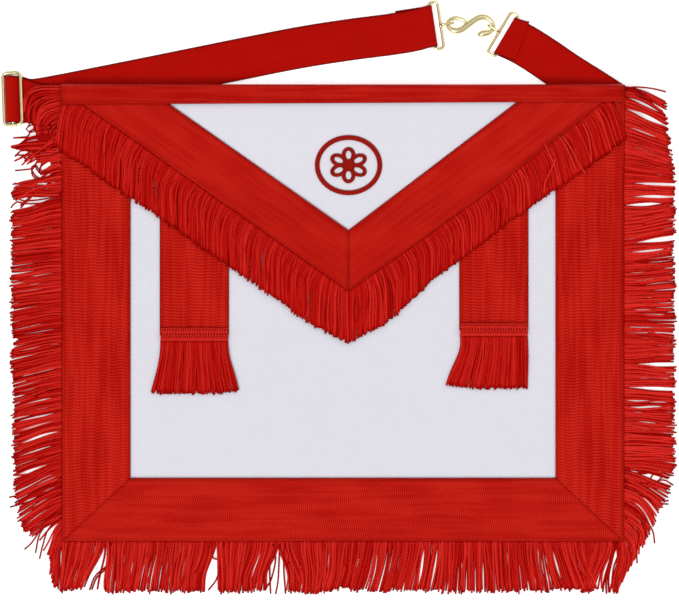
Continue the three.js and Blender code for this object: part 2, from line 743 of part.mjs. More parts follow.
// Stations along a plan curve, with a height for each distance from the two ends, turning the
// width to lie along the bars that the strap meets
function strapRun({ plan, steps, height, side, startAcross, endAcross }) {
  const curve = new THREE.SplineCurve(plan);
  const length = curve.getLength();
  return steps(length).map((distance) => {
    const share = distance / length;
    const place = curve.getPointAt(share);
    const across = leftOf(curve.getTangentAt(share)).multiplyScalar(side);
    const blendZone = BELT_WIDTH * TURN_SHARE;
    if (startAcross) {
      across.lerp(startAcross, 1 - THREE.MathUtils.smoothstep(distance, TURN_MARGIN, blendZone));
    }
    if (endAcross) {
      across.lerp(endAcross, 1 - THREE.MathUtils.smoothstep(length - distance, TURN_MARGIN, blendZone));
    }
    across.normalize();
    return {
      point: new THREE.Vector3(place.x, place.y, height(distance, length)),
      across: new THREE.Vector3(across.x, across.y, 0),
    };
  });
}

// Half a turn round a bar, from over it to under it
function barTurn({ centre, heading, across, top, bottom, reach }) {
  const middle = (top + bottom) / 2;
  return [30, 60, 90, 120, 150].map((angle) => {
    const swing = reach * Math.sin(degrees(angle));
    const height = middle + ((top - bottom) / 2) * Math.cos(degrees(angle));
    return {
      point: new THREE.Vector3(centre.x + heading.x * swing, centre.y + heading.y * swing, height),
      across: new THREE.Vector3(across.x, across.y, 0),
    };
  });
}

function sharePoints(start, end, rows) {
  const span = end.clone().sub(start);
  const beside = leftOf(span);
  return rows.map(({ along, side }) => {
    return start.clone().addScaledVector(span, along).addScaledVector(beside, side);
  });
}

function ramp(distance, near, far, heightNear, heightFar) {
  return THREE.MathUtils.lerp(heightNear, heightFar, THREE.MathUtils.smoothstep(distance, near, far));
}

const LOW_LAYER = BELT_THICKNESS / 2;
const HIGH_LAYER = LOW_LAYER + BELT_LAYER;
const OVER_SLIDE_BAR = slideBarHeight + SLIDE_THICKNESS / 2 + 2 * GAP + BELT_THICKNESS / 2;
const OVER_RING_BAR = 2 * CLASP_HEIGHT - LOW_LAYER;
const RING_TURN_REACH = RING_WIRE / 2 + GAP + BELT_THICKNESS / 2;

// The strap's loop in the slide: over the bar, down to the left rail and back along the surface
const SLIDE_LOOP = [
  { reach: 0.9, height: OVER_SLIDE_BAR - 0.05 },
  { reach: 1.9, height: 4.45 },
  { reach: 2.9, height: 3.8 },
  { reach: 3.9, height: 3.05 },
  { reach: 4.6, height: 2.25 },
  { reach: 4.65, height: 1.45 },
  { reach: 4.0, height: 0.8 },
  { reach: 3.0, height: LOW_LAYER },
  { reach: 1.5, height: LOW_LAYER },
];

// The anchor end runs from its seam under the body to the slide, shares of that distance
const ANCHOR_PLAN = [
  { along: 0, side: 0 },
  { along: 0.3, side: 0.006 },
  { along: 0.53, side: 0.014 },
  { along: 0.68, side: 0.014 },
  { along: 0.83, side: 0.006 },
  { along: 1, side: 0 },
];

// The long run goes from the slide to the left ring, shares of that distance
const LONG_PLAN = [
  { along: 0, side: 0 },
  { along: 0.05, side: -0.01 },
  { along: 0.113, side: -0.0105 },
  { along: 0.203, side: -0.0085 },
  { along: 0.339, side: -0.005 },
  { along: 0.566, side: 0.0015 },
  { along: 0.696, side: 0.004 },
  { along: 0.809, side: 0.002 },
  { along: 0.933, side: -0.003 },
  { along: 1, side: 0 },
];

// The short run goes from its seam under the body to the right ring
const SHORT_PLAN = [
  { along: 0, side: 0 },
  { along: 0.213, side: -0.013 },
  { along: 0.463, side: -0.019 },
  { along: 0.633, side: -0.024 },
  { along: 0.851, side: -0.022 },
  { along: 1, side: 0 },
];

const SLIDE_STEPS = [0, 1.3, 2.3, 3.3, 4.3, 5.3];
const SLIDE_RAMP_START = SLIDE_STEPS[1];
const SLIDE_RAMP_END = SLIDE_STEPS[SLIDE_STEPS.length - 1];
const RING_RAMP = 12;
const FOLD_SLACK = 4;
const FOLD_RISE = 6;

function makeLongBelt() {
  const slideAcross = leftOf(slideHeading).negate();
  const ringAcross = leftOf(leftHeading).negate();
  const anchorRun = strapRun({
    plan: sharePoints(longAnchor, slideCentre, ANCHOR_PLAN),
    steps: (length) => [
      ...[0, 0.17, 0.34, 0.5, 0.66, 0.8].map((share) => share * (length - SLIDE_RAMP_END)),
      ...SLIDE_STEPS.map((step) => length - step).reverse(),
    ],
    height: (distance, length) => {
      return ramp(length - distance, SLIDE_RAMP_START, SLIDE_RAMP_END, OVER_SLIDE_BAR, HIGH_LAYER);
    },
    side: 1,
    endAcross: slideAcross,
  });
  const slideLoop = SLIDE_LOOP.map(({ reach, height }) => {
    const place = slideCentre.clone().addScaledVector(slideHeading, -reach);
    return {
      point: new THREE.Vector3(place.x, place.y, height),
      across: new THREE.Vector3(slideAcross.x, slideAcross.y, 0),
    };
  });
  const foldRise = LONG_BELT_FOLD + FOLD_RISE;
  const longSteps = (length) => {
    const plain = Array.from({ length: 13 }, (_, i) => (i * (length - foldRise - FOLD_SLACK)) / 12);
    const closing = [foldRise, foldRise - 2, LONG_BELT_FOLD, 18, RING_RAMP, 9, 6, 4, 2, 0];
    return [...plain, ...closing.map((step) => length - step)];
  };
  const longRun = strapRun({
    plan: sharePoints(slideCentre, leftBeltBar, LONG_PLAN),
    steps: longSteps,
    height: (distance, length) => {
      const ahead = length - distance;
      const layered = ramp(ahead, LONG_BELT_FOLD, foldRise, HIGH_LAYER, LOW_LAYER);
      return ramp(ahead, 0, RING_RAMP, OVER_RING_BAR, layered);
    },
    side: -1,
    startAcross: slideAcross,
    endAcross: ringAcross,
  });
  const ringLoop = barTurn({
    centre: leftBeltBar,
    heading: leftHeading,
    across: ringAcross,
    top: OVER_RING_BAR,
    bottom: LOW_LAYER,
    reach: RING_TURN_REACH,
  });
  const foldEnd = leftBeltBar.clone().addScaledVector(leftHeading, -LONG_BELT_FOLD + FOLD_SLACK / 2);
  const foldRun = strapRun({
    plan: [leftBeltBar, leftBeltBar.clone().lerp(foldEnd, 0.5), foldEnd],
    steps: (length) => [0, length / 2, length],
    height: () => LOW_LAYER,
    side: 1,
    startAcross: ringAcross,
  });
  return strap([...anchorRun, ...slideLoop, ...longRun, ...ringLoop, ...foldRun]);
}

const SHORT_RAMP_START = 16;
const SHORT_RAMP_END = 34;
const SHORT_FOLD_RAMP = 9;

function makeShortBelt() {
  const ringAcross = leftOf(rightHeading).negate();
  const mainRun = strapRun({
    plan: sharePoints(shortAnchor, rightBeltBar, SHORT_PLAN),
    steps: (length) => [0, 0.12, 0.24, 0.36, 0.48, 0.6, 0.72, 0.84, 0.94, 1].map((share) => share * length),
    height: (distance) => ramp(distance, SHORT_RAMP_START, SHORT_RAMP_END, HIGH_LAYER, LOW_LAYER),
    side: 1,
    endAcross: ringAcross,
  });
  const ringLoop = barTurn({
    centre: rightBeltBar,
    heading: rightHeading.clone().negate(),
    across: ringAcross,
    top: OVER_RING_BAR,
    bottom: LOW_LAYER,
    reach: RING_TURN_REACH,
  }).reverse();
  const foldEnd = rightBeltBar.clone().addScaledVector(rightHeading, SHORT_BELT_FOLD);
  const foldRun = strapRun({
    plan: [rightBeltBar, rightBeltBar.clone().lerp(foldEnd, 0.5), foldEnd],
    steps: (length) => [0, 0.2, 0.4, 0.6, 0.8, 1].map((share) => share * length),
    height: (distance) => ramp(distance, 0, SHORT_FOLD_RAMP, OVER_RING_BAR, HIGH_LAYER),
    side: -1,
    startAcross: ringAcross,
  });
  return strap([...mainRun, ...ringLoop, ...foldRun]);
}

// Finishes
const leather = new THREE.MeshStandardMaterial({ color: 0xe6e4ea, roughness: 0.75, metalness: 0 });
const ribbon = new THREE.MeshStandardMaterial({ color: 0xb8120c, roughness: 0.6, metalness: 0 });
const webbing = new THREE.MeshStandardMaterial({ color: 0xac1006, roughness: 0.85, metalness: 0 });
const thread = new THREE.MeshStandardMaterial({ color: 0xc8190f, roughness: 0.5, metalness: 0 });
const brass = new THREE.MeshStandardMaterial({ color: 0xd2c68c, roughness: 0.3, metalness: 1 });

const apron = new THREE.Group();
apron.name = 'apron';

function addPiece(name, geometry, material, group) {
  const mesh = new THREE.Mesh(geometry, material);
  mesh.name = name;
  group.add(mesh);
}

const body = new THREE.Group();
addPiece('body_panel', makeBodyPanel(), leather, body);
addPiece('border_left', makeSideBorder(-1), ribbon, body);
addPiece('border_right', makeSideBorder(1), ribbon, body);
addPiece('border_bottom', makeBottomBorder(), ribbon, body);
addPiece('fringe_left', makeSideFringe(-1), thread, body);
addPiece('fringe_right', makeSideFringe(1), thread, body);
addPiece('fringe_bottom', makeBottomFringe(), thread, body);
addPiece('top_binding', makeTopBinding(), ribbon, body);

const flap = new THREE.Group();
addPiece('flap_panel', makeFlapPanel(), leather, flap);
addPiece('flap_ribbon_left', makeFlapRibbon(-1), ribbon, flap);
addPiece('flap_ribbon_right', makeFlapRibbon(1), ribbon, flap);
addPiece('flap_fringe_left', makeFlapFringe(-1), thread, flap);
addPiece('flap_fringe_right', makeFlapFringe(1), thread, flap);
addPiece('emblem_ring', makeEmblemRing(), thread, flap);
addPiece('emblem_rosette', makeEmblemRosette(), thread, flap);

const tabs = new THREE.Group();
for (const [label, side] of [['left', -1], ['right', 1]]) {
  addPiece(`tab_${label}`, makeTab(side), ribbon, tabs);
  addPiece(`tab_braid_${label}`, makeTabBraid(side), thread, tabs);
  addPiece(`tab_fringe_${label}`, makeTabFringe(side), thread, tabs);
}

const belt = new THREE.Group();
addPiece('belt_long', makeLongBelt(), webbing, belt);
addPiece('belt_short', makeShortBelt(), webbing, belt);
addPiece('slide_buckle', makeSlide(), brass, belt);
addPiece('ring_left', makeRing(leftRing, RING_LEFT_TURN, 1), brass, belt);
addPiece('ring_right', makeRing(rightRing, RING_RIGHT_TURN, -1), brass, belt);
addPiece('snake_hook', makeHook(), brass, belt);

apron.add(body, flap, tabs, belt);

export default apron;
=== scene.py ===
"""Finish of a fringed ceremonial apron that lies flat: leather cloth, moire ribbon, thread fringe,
embroidery, webbing belt and a pale brass clasp. Lengths are in millimetres until they are placed."""

import math

import bmesh
import bpy
import numpy as np
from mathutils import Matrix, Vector


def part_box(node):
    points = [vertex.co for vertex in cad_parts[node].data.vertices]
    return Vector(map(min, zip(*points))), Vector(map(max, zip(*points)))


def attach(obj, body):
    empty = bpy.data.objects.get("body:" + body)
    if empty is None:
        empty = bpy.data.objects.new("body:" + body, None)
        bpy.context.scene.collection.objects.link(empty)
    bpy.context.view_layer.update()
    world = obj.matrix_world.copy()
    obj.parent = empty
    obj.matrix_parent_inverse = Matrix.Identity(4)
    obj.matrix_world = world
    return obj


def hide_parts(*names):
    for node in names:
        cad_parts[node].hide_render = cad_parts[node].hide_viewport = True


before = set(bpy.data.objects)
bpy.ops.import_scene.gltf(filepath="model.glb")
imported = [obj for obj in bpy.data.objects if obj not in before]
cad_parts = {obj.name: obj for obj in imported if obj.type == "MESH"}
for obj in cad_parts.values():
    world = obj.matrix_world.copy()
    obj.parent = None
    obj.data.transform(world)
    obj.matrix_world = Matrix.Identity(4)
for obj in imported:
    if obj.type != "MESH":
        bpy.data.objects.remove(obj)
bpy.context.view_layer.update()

MM = 0.001
BODY = "root"

# Cloth, as the frame's pieces are made
GAP = 0.3
PANEL_THICKNESS = 1.2
RIBBON_THICKNESS = 1.0
FLAP_THICKNESS = 1.0
BELT_THICKNESS = 1.2
BELT_WIDTH = 30.0
FLAP_RIBBON_WIDTH = 35.5
TAB_WIDTH = 49.0
RIBBON_LEVEL = PANEL_THICKNESS + GAP
FLAP_LEVEL = RIBBON_LEVEL + RIBBON_THICKNESS + GAP
FLAP_RIBBON_LEVEL = FLAP_LEVEL + FLAP_THICKNESS + GAP
BINDING_LEVEL = FLAP_RIBBON_LEVEL + RIBBON_THICKNESS + GAP
BELT_LAYER = BELT_THICKNESS + GAP


def corners(node):
    """Lowest and highest corner of a frame piece, in millimetres."""
    low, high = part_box(node)
    return low / MM, high / MM


BINDING_LOW, BINDING_HIGH = corners("top_binding")
BODY_HALF = BINDING_HIGH.x
BODY_TOP = BINDING_HIGH.y
BODY_BOTTOM = -BODY_TOP
BINDING_BOTTOM = BINDING_LOW.y
SIDE_RIBBON = corners("border_left")[1].x + BODY_HALF + GAP
BOTTOM_RIBBON = corners("border_bottom")[1].y - BODY_BOTTOM
LIFT_HEIGHT = corners("body_panel")[1].z - PANEL_THICKNESS
LIFT_START = BODY_TOP - 80
LIFT_END = BINDING_BOTTOM - 3


def smooth(value, low, high):
    share = np.clip((value - low) / (high - low), 0, 1)
    return share * share * (3 - 2 * share)


def lift(y):
    """Height that the apron's top edge gains from the belt and binding under it."""
    return LIFT_HEIGHT * smooth(y, LIFT_START, LIFT_END)


def mixed(a, b, share):
    return a + (b - a) * share


# Materials


class Finish:
    """One procedural material, built node by node."""

    def __init__(self, name, **shader_values):
        self.material = bpy.data.materials.new(name)
        self.material.use_nodes = True
        self.tree = self.material.node_tree
        self.shader = self.tree.nodes["Principled BSDF"]
        for socket, value in shader_values.items():
            self.shader.inputs[socket.replace("_", " ")].default_value = value

    def node(self, kind, settings=None, **inputs):
        node = self.tree.nodes.new(kind)
        for key, value in (settings or {}).items():
            setattr(node, key, value)
        for key, value in inputs.items():
            self.feed(node.inputs[key.replace("_", " ")], value)
        return node

    def feed(self, socket, value):
        if isinstance(value, bpy.types.NodeSocket):
            self.tree.links.new(value, socket)
        else:
            socket.default_value = value

    def math(self, operation, first, second=0.0, clamp=False):
        node = self.tree.nodes.new("ShaderNodeMath")
        node.operation = operation
        node.use_clamp = clamp
        self.feed(node.inputs[0], first)
        self.feed(node.inputs[1], second)
        return node.outputs[0]

    def plus(self, first, second, clamp=False):
        return self.math("ADD", first, second, clamp)

    def minus(self, first, second):
        return self.math("SUBTRACT", first, second)

    def times(self, first, second):
        return self.math("MULTIPLY", first, second)

    def over(self, first, second):
        return self.math("DIVIDE", first, second)

    def rim(self, across, width):
        """Distance from the nearer edge of a strip of a width."""
        return self.math("MINIMUM", across, self.minus(width, across))

    def step(self, value, low, high):
        """0 below low, 1 above high, smooth between."""
        node = self.node("ShaderNodeMapRange", {"interpolation_type": "SMOOTHSTEP"})
        self.feed(node.inputs["Value"], value)
        node.inputs["From Min"].default_value = low
        node.inputs["From Max"].default_value = high
        return node.outputs["Result"]

    def colour(self, share, first, second):
        node = self.node("ShaderNodeMix", {"data_type": "RGBA"})
        self.feed(node.inputs["Factor"], share)
        self.feed(node.inputs["A"], first)
        self.feed(node.inputs["B"], second)
        return next(out for out in node.outputs if out.type == "RGBA")

    def noise(self, vector, scale, detail=2.0, rough=0.5, bend=0.0):
        node = self.node("ShaderNodeTexNoise", Scale=scale, Detail=detail, Roughness=rough, Distortion=bend)
        self.feed(node.inputs["Vector"], vector)
        return node.outputs["Fac"]

    def stretched(self, vector, x, y):
        node = self.node("ShaderNodeMapping", Scale=(x, y, 1.0))
        self.feed(node.inputs["Vector"], vector)
        return node.outputs["Vector"]

    def map(self, name="UVMap"):
        return self.node("ShaderNodeUVMap", {"uv_map": name}).outputs["UV"]

    def place(self):
        return self.node("ShaderNodeTexCoord").outputs["Object"]

    def split(self, vector):
        outputs = self.node("ShaderNodeSeparateXYZ", Vector=vector).outputs
        return outputs["X"], outputs["Y"]

    def wave(self, phase):
        """A ridge from 0 to 1 for each unit of phase."""
        sine = self.math("SINE", self.times(phase, 2 * math.pi))
        return self.plus(self.times(sine, 0.5), 0.5)

    def finish(self, colour, heights):
        """Links the colour and stacks bumps given as (height socket, depth in metres)."""
        self.tree.links.new(colour, self.shader.inputs["Base Color"])
        normal = None
        for height, depth in heights:
            bump = self.node("ShaderNodeBump", Strength=1.0, Distance=depth, Height=height)
            if normal is not None:
                self.tree.links.new(normal, bump.inputs["Normal"])
            normal = bump.outputs["Normal"]
        self.tree.links.new(normal, self.shader.inputs["Normal"])
        return self.material


# Thread: three tones, from painted shade through the red to a painted highlight, how many plies it has, and
# how far along one turn takes
THREAD_DARK = (0.12, 0, 0, 1)
THREAD_MIDDLE = (0.45, 0.0022, 0.0015, 1)
THREAD_LIGHT = (0.82, 0.034, 0.024, 1)
THREAD_PLIES = 2.0
THREAD_LAY = 1.7
CORD_LAY = 1.2
RED_GLOSS = {"Specular_IOR_Level": 0.4, "Specular_Tint": (1.0, 0.05, 0.03, 1)}


def make_leather():
    f = Finish("white_leather", Roughness=0.62, Specular_IOR_Level=0.25)
    where = f.place()
    grain = f.node("ShaderNodeTexVoronoi", {"feature": "DISTANCE_TO_EDGE"}, Scale=900.0)
    f.feed(grain.inputs["Vector"], where)
    pebble = f.step(grain.outputs["Distance"], 0.0, 0.25)
    cloud = f.noise(where, 28.0, 3.0)
    tone = f.colour(cloud, (0.72, 0.71, 0.785, 1), (0.765, 0.755, 0.83, 1))
    creased = f.colour(pebble, (0.695, 0.685, 0.755, 1), tone)
    ripple = f.noise(where, 14.0, 1.0)
    return f.finish(creased, [(pebble, 0.00005), (ripple, 0.0012)])


def make_ribbon(name, pitch, width, rib_share, water_share, sway, grain_pitch=0.42, grain_share=0.08):
    """Ribbed moire ribbon. The map's first axis runs along the ribbon, its second across it."""
    f = Finish(name, Roughness=0.48, **RED_GLOSS)
    flat = f.map()
    along, across = f.split(flat)
    rim = f.rim(across, width)
    arch = f.minus(f.noise(f.stretched(flat, 1 / 150, 1 / 10), 1.0, 1.0), 0.5)
    shiver = f.minus(f.noise(f.stretched(flat, 1 / 40, 1 / 4), 1.0, 1.0), 0.5)
    drift = f.plus(f.times(arch, sway / pitch), f.times(shiver, 0.6 / pitch))
    rib = f.wave(f.plus(f.over(along, pitch), drift))
    inside = f.step(rim, 1.8, 3.0)
    water_map = f.stretched(flat, 1 / 80, 1 / 3.6)
    water = f.step(f.noise(water_map, 1.0, 2.0, 0.55, 0.5), 0.4, 0.6)
    strength = f.plus(f.times(water, 0.4), 0.6)
    plain = f.times(f.minus(1.0, inside), 0.5)
    ribbed = f.times(f.plus(f.times(rib, inside), plain), strength)
    thread = f.wave(f.over(across, grain_pitch))
    cloud = f.step(f.noise(f.stretched(flat, 1 / 40, 1 / 24), 1.0, 1.0), 0.35, 0.65)
    shade = f.plus(f.times(ribbed, rib_share), f.times(water, water_share))
    shade = f.plus(shade, f.times(thread, grain_share))
    shade = f.plus(shade, f.times(cloud, 0.16), clamp=True)
    cloth = f.colour(shade, (0.33, 0.0004, 0.0002, 1), (0.63, 0.021, 0.0115, 1))
    groove = f.minus(f.step(rim, 1.7, 2.2), f.step(rim, 2.2, 2.9))
    selvedge = f.colour(f.times(groove, 0.25), cloth, (0.2, 0.0004, 0.0004, 1))
    # Painted shade: both edges of the ribbon are darkened, as shade where it meets the cloth beside it.
    shaded_edges = f.colour(f.step(rim, 0.0, 0.6), (0.2, 0.0004, 0.0003, 1), selvedge)
    pucker = f.noise(f.stretched(flat, 1 / 11, 1 / 7), 1.0, 2.0)
    return f.finish(shaded_edges, [(ribbed, 0.00015 * pitch), (thread, 0.00003), (pucker, 0.0005)])


def make_webbing():
    f = Finish("webbing", Roughness=0.8, Specular_IOR_Level=0.25, Specular_Tint=(1.0, 0.16, 0.12, 1))
    flat = f.map()
    along, across = f.split(flat)
    zigzag = f.math("PINGPONG", across, 1.5)
    weft = f.wave(f.over(f.plus(along, zigzag), 1.3))
    warp = f.wave(f.over(across, 0.75))
    weave = f.times(weft, warp)
    cloud = f.noise(f.stretched(flat, 1 / 22, 1 / 12), 1.0, 3.0)
    shade = f.plus(f.times(weave, 0.4), f.times(cloud, 0.6))
    cloth = f.colour(shade, (0.37, 0.0014, 0.0006, 1), (0.52, 0.006, 0.0022, 1))
    rim = f.rim(across, BELT_WIDTH)
    # Painted shade: both edges of the webbing are darkened, as shade along its sides.
    shaded_edges = f.colour(f.step(rim, 0.1, 1.0), (0.1, 0.0006, 0.0004, 1), cloth)
    return f.finish(shaded_edges, [(weave, 0.00018), (cloud, 0.0005)])


def make_thread(name, lay):
    """Twisted thread. The map's first axis goes round the thread, its second along it."""
    f = Finish(name, Roughness=0.38, **RED_GLOSS)
    around, along = f.split(f.map())
    ply = f.wave(f.plus(f.times(around, THREAD_PLIES), f.over(along, lay)))
    # The attribute read here carries each strand's chance dye together with painted light: tops and higher
    # strands are painted lighter, and sides, lower strands and roots are painted darker as shade.
    tone_and_light = f.node("ShaderNodeAttribute", {"attribute_name": "tone_and_light"}).outputs["Fac"]
    shade = f.plus(f.times(ply, 0.25), f.times(tone_and_light, 0.75), clamp=True)
    body = f.colour(f.step(shade, 0.05, 0.6), THREAD_DARK, THREAD_MIDDLE)
    return f.finish(f.colour(f.step(shade, 0.55, 1.0), body, THREAD_LIGHT), [(ply, 0.00025)])


def make_embroidery():
    """Satin stitch. The map's first axis runs along the line, its second across it."""
    f = Finish("embroidery", Roughness=0.42, **RED_GLOSS)
    flat = f.map()
    along, across = f.split(flat)
    slant = f.times(across, 0.25)
    stitch = f.wave(f.over(f.plus(along, slant), 0.5))
    cloud = f.noise(f.stretched(flat, 1 / 2.5, 1 / 2), 1.0, 2.0)
    shade = f.plus(f.times(stitch, 0.6), f.times(cloud, 0.4))
    tone = f.colour(shade, (0.22, 0.003, 0.002, 1), (0.47, 0.02, 0.012, 1))
    return f.finish(tone, [(stitch, 0.00016)])


def make_brass():
    f = Finish("pale_brass", Metallic=1.0, Roughness=0.2)
    where = f.place()
    cloud = f.noise(where, 160.0, 3.0)
    scuff = f.noise(where, 1400.0, 2.0)
    tone = f.colour(cloud, (0.62, 0.52, 0.24, 1), (0.9, 0.81, 0.5, 1))
    return f.finish(tone, [(cloud, 0.00025), (scuff, 0.00002)])


def make_floor():
    f = Finish("pale_floor", Roughness=0.9, Specular_IOR_Level=0.1, Emission_Strength=0.45)
    f.shader.inputs["Emission Color"].default_value = (1, 1, 1, 1)
    cloud = f.noise(f.place(), 3.0, 2.0)
    tone = f.colour(cloud, (0.93, 0.93, 0.935, 1), (0.95, 0.95, 0.955, 1))
    return f.finish(tone, [(cloud, 0.0001)])


LEATHER = make_leather()
SIDE_MOIRE = make_ribbon("ribbon_side", 2.2, SIDE_RIBBON, 0.66, 0.16, 5.0)
BOTTOM_MOIRE = make_ribbon("ribbon_bottom", 1.5, BOTTOM_RIBBON, 0.85, 0.08, 9.0)
FLAP_MOIRE = make_ribbon("ribbon_flap", 1.5, FLAP_RIBBON_WIDTH, 0.48, 0.1, 4.0, 1.5, 0.24)
TAB_MOIRE = make_ribbon("ribbon_tab", 2.2, TAB_WIDTH, 0.66, 0.16, 5.0)
BINDING_MOIRE = make_ribbon("ribbon_binding", 1.5, 26.0, 0.4, 0.25, 3.0)
WEBBING = make_webbing()
THREAD = make_thread("fringe_thread", THREAD_LAY)
CORD = make_thread("braid", CORD_LAY)
SATIN = make_embroidery()
BRASS = make_brass()
FLOOR = make_floor()


# Making pieces


def in_scene(name, data):
    thing = bpy.data.objects.new(name, data)
    bpy.context.scene.collection.objects.link(thing)
    return thing


def add_piece(name, mesh, material, slot, *nodes):
    """Puts a finished mesh in the scene, riding with the apron and standing for its frame pieces."""
    piece = in_scene(name, mesh)
    mesh.materials.append(material)
    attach(piece, BODY)
    if nodes:
        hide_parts(*nodes)
    return piece


def smooth_mesh(form, name):
    """Turns a finished bmesh into a smooth mesh."""
    mesh = bpy.data.meshes.new(name)
    form.to_mesh(mesh)
    form.free()
    mesh.shade_smooth()
    return mesh


def grid_mesh(name, columns, rows, place, flat, wrap=False):
    """A grid whose shares u and v are placed in space and in the map, both in millimetres."""
    form = bmesh.new()
    bmesh.ops.create_grid(form, x_segments=columns, y_segments=rows, size=0.5)
    layer = form.loops.layers.uv.new("UVMap")
    for face in form.faces:
        for loop in face.loops:
            u, v = loop.vert.co.x + 0.5, loop.vert.co.y + 0.5
            loop[layer].uv = flat(u, v)
    for vertex in form.verts:
        vertex.co = Vector(place(vertex.co.x + 0.5, vertex.co.y + 0.5)) * MM
    if wrap:
        bmesh.ops.remove_doubles(form, verts=form.verts, dist=1e-6)
    bmesh.ops.recalc_face_normals(form, faces=form.faces)
    return smooth_mesh(form, name)


def thicken(piece, thickness):
    """Gives a sheet its cloth thickness, half to each side."""
    wall = piece.modifiers.new("cloth", "SOLIDIFY")
    wall.thickness = thickness * MM
    wall.offset = 0.0
    return piece


def cloth_sheet(name, node, material, slot, columns, rows, outline, flat, level, thickness):
    """A laid cloth piece. outline(u, v) gives x and y, flat(x, y, u, v) the map."""

    def place(u, v):
        x, y = outline(u, v)
        return x, y, lift(y) + level + thickness / 2

    def mapped(u, v):
        x, y = outline(u, v)
        return flat(x, y, u, v)

    piece = add_piece(name, grid_mesh(name, columns, rows, place, mapped), material, slot, node)
    thicken(piece, thickness)
    return piece


# Body

SEAM = 0.02


def make_body():
    low, high = corners("body_panel")
    cloth_sheet(
        "panel", "body_panel", LEATHER, "white_leather", 40, 60,
        lambda u, v: (mixed(low.x, high.x, u), mixed(low.y, high.y, v)),
        lambda x, y, u, v: (x, y), 0.0, PANEL_THICKNESS,
    )


def make_side_border(name, side):
    top = corners(name)[1].y

    def outline(u, v):
        bottom = BODY_BOTTOM + v * BOTTOM_RIBBON + SEAM
        return side * (BODY_HALF - v * SIDE_RIBBON), mixed(bottom, top, u)

    cloth_sheet(
        f"{name}_ribbon", name, SIDE_MOIRE, "ribbon", 110, 16, outline,
        lambda x, y, u, v: (y, v * SIDE_RIBBON), RIBBON_LEVEL, RIBBON_THICKNESS,
    )


def make_bottom_border():
    low, high = corners("border_bottom")

    def outline(u, v):
        half = BODY_HALF - v * SIDE_RIBBON
        return mixed(-half, half, u), mixed(low.y, high.y, v)

    cloth_sheet(
        "border_bottom_ribbon", "border_bottom", BOTTOM_MOIRE, "ribbon", 120, 14, outline,
        lambda x, y, u, v: (x, v * BOTTOM_RIBBON), RIBBON_LEVEL, RIBBON_THICKNESS,
    )


BINDING_SKEW = 2.1


def make_binding():
    """A band folded over the top edge, with a soft round fold."""
    back = BINDING_LOW.z + RIBBON_THICKNESS / 2
    front = BINDING_HIGH.z - RIBBON_THICKNESS / 2
    radius = (front - back) / 2
    straight = BODY_TOP - RIBBON_THICKNESS / 2 - radius * 0.6 - BINDING_BOTTOM
    bend = math.pi * radius * 0.8
    length = 2 * straight + bend

    def section(v):
        run = v * length
        if run < straight:
            return BINDING_BOTTOM + run, front - 0.25 * (1 - smooth(run, 0, 1.5))
        if run < straight + bend:
            turn = math.pi * (run - straight) / bend
            return (
                BINDING_BOTTOM + straight + math.sin(turn) * radius * 0.6,
                (front + back) / 2 + math.cos(turn) * radius,
            )
        return BINDING_BOTTOM + length - run, back

    def place(u, v):
        y, z = section(v)
        front_share = 1 - smooth(v * length, 0, straight)
        return mixed(-BODY_HALF, BODY_HALF, u), y - BINDING_SKEW * (1 - u) * front_share, z

    mesh = grid_mesh("binding", 60, 30, place, lambda u, v: (u * 2 * BODY_HALF, v * length))
    piece = add_piece("binding", mesh, BINDING_MOIRE, "ribbon", "top_binding")
    thicken(piece, RIBBON_THICKNESS)


# Flap

RIBBON_LOW, RIBBON_HIGH = corners("flap_ribbon_left")
FLAP_TOP = RIBBON_HIGH.y
FLAP_SHIFT = RIBBON_HIGH.x + GAP / 2
FLAP_TIP = RIBBON_LOW.y - GAP
FLAP_REACH = {-1: FLAP_SHIFT - RIBBON_LOW.x, 1: corners("flap_ribbon_right")[1].x - FLAP_SHIFT}
FLAP_SLOPE = {side: (FLAP_TOP - FLAP_TIP) / reach for side, reach in FLAP_REACH.items()}
FLAP_ANGLE = {side: math.atan(slope) for side, slope in FLAP_SLOPE.items()}
FLAP_COSINE = (math.cos(FLAP_ANGLE[-1]) + math.cos(FLAP_ANGLE[1])) / 2
FLAP_INSET = 6.3
# The right ribbon lies a little lower over its fringe than a straight line
FLAP_SAG = {-1: 0.0, 1: 5.0}


def flap_edge(side, y, inset):
    """How far the flap reaches to a side at a height, with its edge moved in by a distance."""
    return max((y - FLAP_TIP - inset / FLAP_COSINE) / FLAP_SLOPE[side], 0.0)


def flap_sag(side, x):
    """How far the flap ribbon's outer edge lies below a straight line at a reach x."""
    return FLAP_SAG[side] * np.sin(0.8 * math.pi * x / FLAP_REACH[side])


def make_flap():
    low, high = corners("flap_panel")

    def outline(u, v):
        y = mixed(low.y, high.y, v)
        left, right = (max(flap_edge(side, y, FLAP_INSET), 0.4) for side in (-1, 1))
        return FLAP_SHIFT + mixed(-left, right, u), y

    cloth_sheet(
        "flap", "flap_panel", LEATHER, "white_leather", 30, 30, outline,
        lambda x, y, u, v: (x, y), FLAP_LEVEL, FLAP_THICKNESS,
    )


